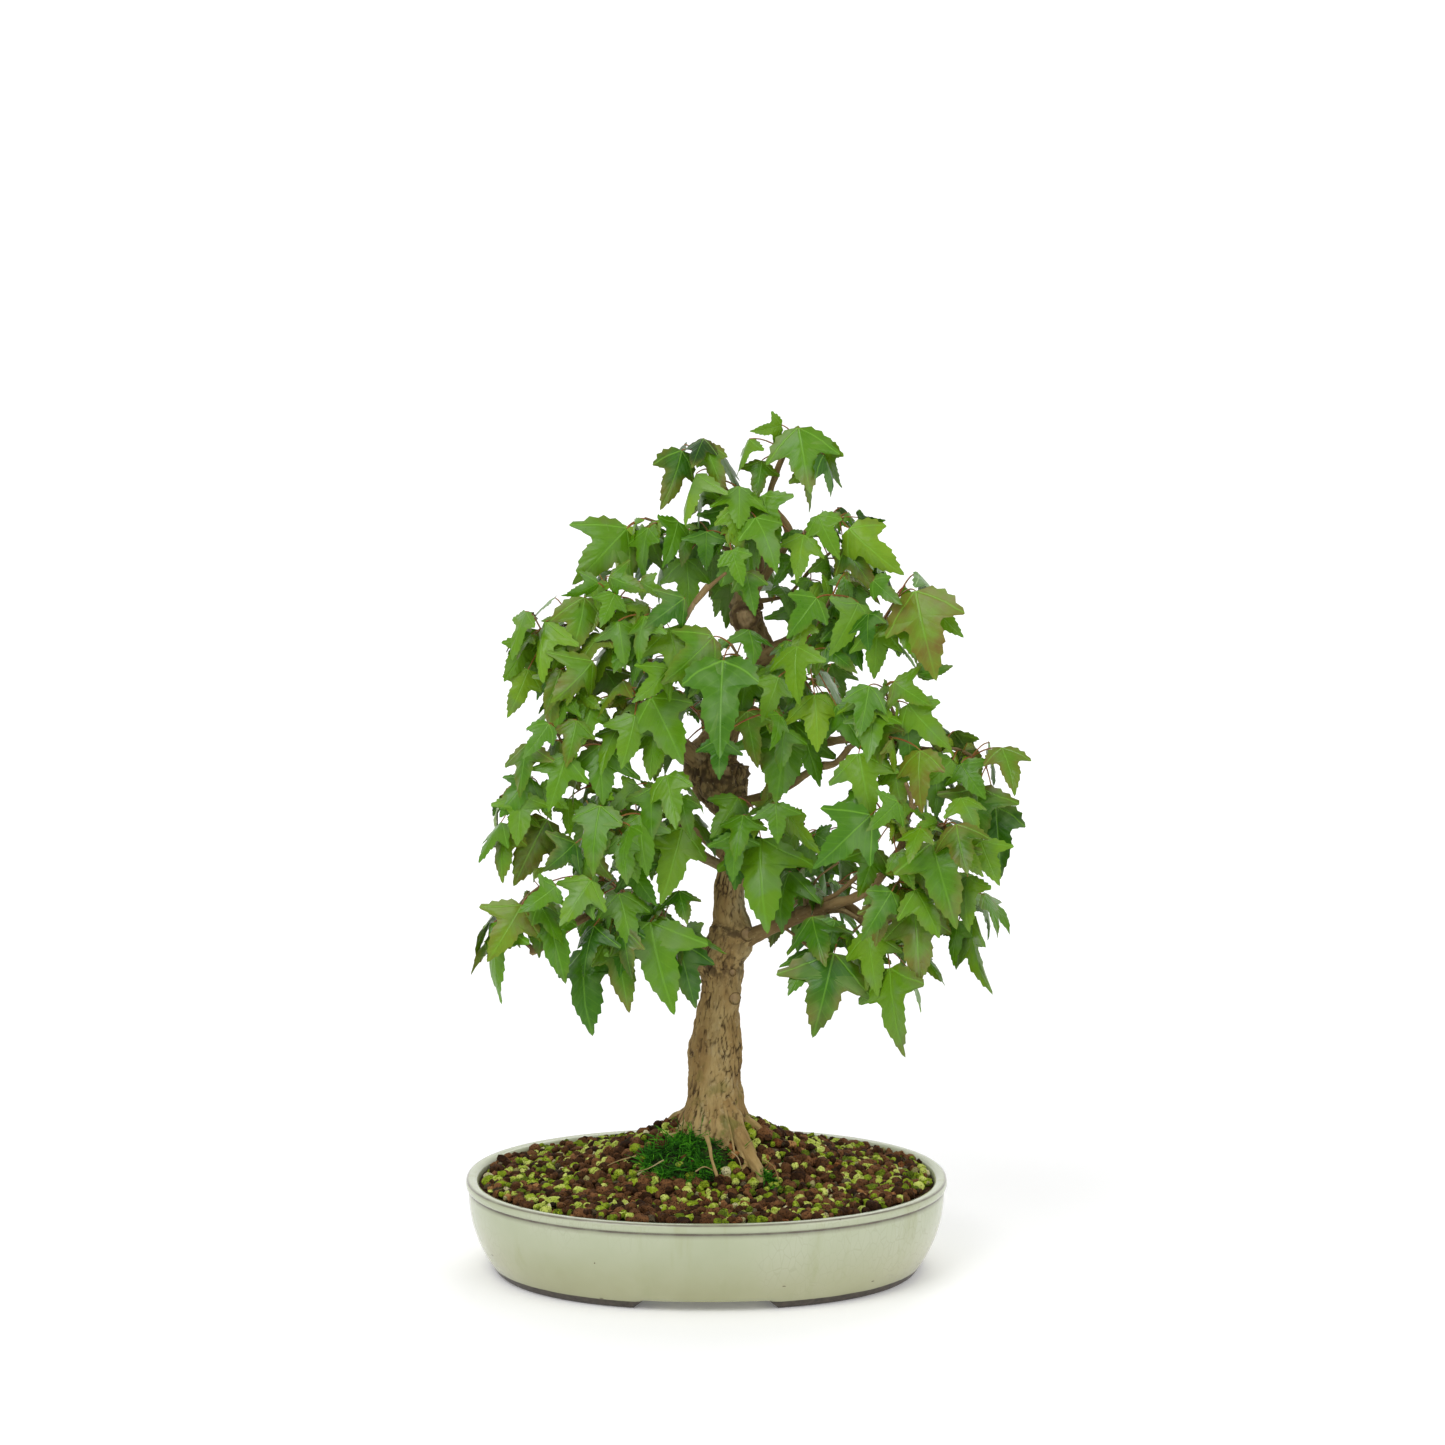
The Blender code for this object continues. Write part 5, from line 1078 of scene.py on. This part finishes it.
def youngBlades(line):
    # Small new leaves on a twig: where each starts, and its blade's frame as bladeParts gives it.
    count = leaf["young"]
    spot = chance.uniform(0.3, 1, count) * (len(line) - 1)
    start = np.stack([np.interp(spot, np.arange(len(line)), column) for column in line.T], 1)
    outward = unit((start - potMiddle - np.array([14, 0, 0]) * mm) * [1, 1, 0])
    aim = unit(outward * 0.6 + [0, 0, 0.35] + chance.normal(0, 0.55, (count, 3)))
    foot = start + aim * chance.uniform(*leaf["youngStalk"], (count, 1)) * mm
    along = unit(aim * 0.55 + [0, 0, -0.75] + chance.normal(0, 0.35, (count, 3)))
    face = outward * 0.75 + [0, -0.25, 0.5] + chance.normal(0, 0.3, (count, 3))
    face = unit(face - along * (face * along).sum(1, keepdims=True))
    length = chance.uniform(*leaf["youngLength"], count) * mm
    return foot, along, face, np.cross(along, face), length, np.full(count, -0.1), start


def makeShoot(node):
    tips, layers, twigSpots, near = readShoot(node)
    line = twigRows(twigSpots, near)
    foot, along, face, across, length, sink, start = (
        np.concatenate(pair) for pair in zip(bladeParts(tips, layers), youngBlades(line)))
    count = len(foot)
    inner, margin = bladeShape()
    sides = len(margin)
    flat = np.concatenate([margin, inner, [[0, leaf["middle"]]]])
    # Each leaf's own outline: wider or narrower, its side lobes larger or smaller, raised or lowered.
    u, v = flat[:, 0][None], flat[:, 1][None]
    lobes = np.exp(-(((v - 0.3) / 0.17) ** 2)) * np.abs(u) * 2
    wide = 1 + chance.normal(0, 0.07, (count, 1)) + chance.normal(0, 0.13, (count, 1)) * lobes
    v = v + chance.normal(0, 0.08, (count, 1)) * lobes
    u = (u + chance.normal(0, 0.05, (count, 1)) * v**2) * wide
    # Height above the blade's plane: it sags along its length, folds along its ribs and waves at its edge.
    fold = chance.normal(-0.14, 0.2, (count, 1))
    curl = chance.normal(-0.14, 0.14, (count, 1))
    twist = chance.normal(0, 0.2, (count, 1))
    wave = chance.uniform(0, 9, (count, 1))
    droop = chance.uniform(-0.06, 0.48, (count, 1)) * np.maximum(0, v - 0.45) ** 2
    lift = sink[:, None] * v**2 + fold * np.abs(u) + curl * u**2 * 2 + twist * u * v - droop
    lift = lift + 0.02 * np.sin(u * 19 + wave) * np.cos(v * 13 + wave) * np.hypot(u, v - 0.3) * 2
    size = length[:, None, None]
    top = foot[:, None] + (across[:, None] * u[..., None] + along[:, None] * v[..., None]
                           + face[:, None] * lift[..., None]) * size
    bottom = top[:, -1:] - face[:, None] * leaf["thick"] * mm
    points = np.concatenate([top, bottom], axis=1)
    k = np.arange(sides)
    after = np.roll(k, -1)
    hub = np.full(sides, 2 * sides)
    quads = np.stack([k, after, after + sides, k + sides], 1)
    fan = np.stack([k + sides, after + sides, hub], 1)
    under = np.stack([after, k, hub + 1], 1)
    stride = points.shape[1]
    starts = (np.arange(count) * stride)[:, None, None]
    blade = (points.reshape(-1, 3), (starts + quads).reshape(-1, 4), (starts + fan).reshape(-1, 3),
             (starts + under).reshape(-1, 3))
    uv = np.concatenate([flat, flat[-1:]])
    # Stalks: a curve that leaves the twig outwards and comes into the blade from behind.
    t = np.linspace(0, 1, 7)[:, None]
    span = np.linalg.norm(foot - start, axis=1)[:, None, None]
    inward = unit(foot - start)[:, None]
    one = start[:, None] + (inward + [0, 0, 0.35]) * span * 0.4
    two = foot[:, None] - unit(inward + along[:, None] * 0.6) * span * 0.3
    root = start[:, None] - inward * 0.8 * mm
    paths = root * (1 - t) ** 3 + one * 3 * t * (1 - t) ** 2 + two * 3 * t**2 * (1 - t) + foot[:, None] * t**3
    thick = np.where(np.arange(count) < len(tips), 1, 0.75)[:, None] * leaf["stalk"] * mm
    stalks = tubes(paths, thick * (1.25 - 0.45 * t[:, 0]), leaf["stalkSides"])
    both, faces = joined([blade, stalks])
    stalkCount = len(stalks[0])
    # The tone holds painted light and shade over the crown as well as the leaves' own spread of colour.
    tone, bronze = leafTonesAndShade(foot, np.arange(count) >= len(tips))
    perStalk = stalkCount // count
    none = np.zeros(stalkCount)
    rim = np.concatenate([np.ones(sides), np.full(sides, 0.5), [0, 0]])
    values = {
        "tone": np.concatenate([np.repeat(tone, stride), np.repeat(tone, perStalk)]),
        "bronze": np.concatenate([np.repeat(bronze, stride), none]),
        "stalk": np.concatenate([np.zeros(count * stride), none + 1]),
        "edge": np.concatenate([np.tile(rim, count), none]),
        "under": np.concatenate([np.tile(np.append(np.zeros(stride - 1), 1), count), none]),
    }
    map2d = np.concatenate([np.tile(uv, (count, 1)), np.zeros((stalkCount, 2))])
    makePiece(pieceName(node, "leaves"), both, faces, leafyLook, [node], values, map2d, sharp=70)
    rows = np.column_stack([(line - potMiddle) / mm, np.linspace(1.35, 0.75, len(line))])
    rows[0, :3] -= (rows[1, :3] - rows[0, :3]) * 0.35
    makeWood(pieceName(node, "twig"), [woodTube(rows, 14, 0.8, 0.3, 0.1, flare=0.4, knuckle=0.22)])


def leafTonesAndShade(spots, young):
    # Painted light and shade: bright towards the crown's outer ends, dark deep inside it. Also brighter towards the
    # crown's top, in drifts, at random and on young leaves; bronze in drifts on the left and far right.
    x, y, z = ((spots - potMiddle) / mm).T
    count = len(spots)
    drift = smoothNoise(np.stack([x, y, z], 1) / 45, 71)
    # Painted light and shade: leaves far from the trunk's axis are lighter, leaves deep inside the crown darker.
    paintedLightOutside = np.clip(np.hypot(x - 15, y) / 110, 0, 1)
    tone = 0.36 + 0.16 * drift + 0.18 * paintedLightOutside + 0.12 * np.clip((z - 330) / 140, 0, 1)
    tone = tone + chance.normal(0, 0.15, count) + np.where(young, 0.14, 0)
    rust = smoothNoise(np.stack([x, y, z], 1) / 38, 72)
    bronze = 0.06 + 0.26 * rust + 0.16 * (np.abs(x) > 95) + 0.1 * (x < -30) + chance.normal(0, 0.2, count)
    bronze = bronze + np.where(young, 0.16, 0)
    return np.clip(tone, 0, 1), np.clip(bronze, 0, 1)


def makeShoots():
    for node in sorted(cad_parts):
        if node.startswith("shoot_"):
            makeShoot(node)
    print("shoots ready")


# Drainage screens and clips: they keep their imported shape.


def screenLook():
    look, tree, surface = newLook("plasticMesh", Roughness=0.5)
    coords = place(tree)
    weave = cells(tree, coords, 420, "DISTANCE_TO_EDGE").outputs[0]
    wire(tree, blendColours(tree, fade(tree, weave, 0.05, 0.2), (0.035, 0.035, 0.035), (0.008, 0.008, 0.008)),
         surface.inputs["Base Color"])
    bump(tree, surface, weave, 0.0004, 0.8)
    return look


def clipLook():
    look, tree, surface = newLook("clipWire", Metallic=1.0, Roughness=0.35)
    dull = grain(tree, place(tree), 500, 4)
    wire(tree, ramp(tree, dull, [(0.3, (0.35, 0.34, 0.32)), (0.7, (0.62, 0.61, 0.58))]), surface.inputs["Base Color"])
    wire(tree, scaled(tree, dull, 0.3, 0.25), surface.inputs["Roughness"])
    return look


def dressDrains():
    for prefix, look in (("drain_mesh_", screenLook()), ("mesh_clip_", clipLook())):
        for side in ("left", "right"):
            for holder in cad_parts[prefix + side].material_slots:
                holder.material = look


makeStudio()
makePot()
makeSoil()
makeGrains()
makeMoss()
woodLook = barkLook()
makeTree()
leafyLook = leafLook()
makeShoots()
dressDrains()
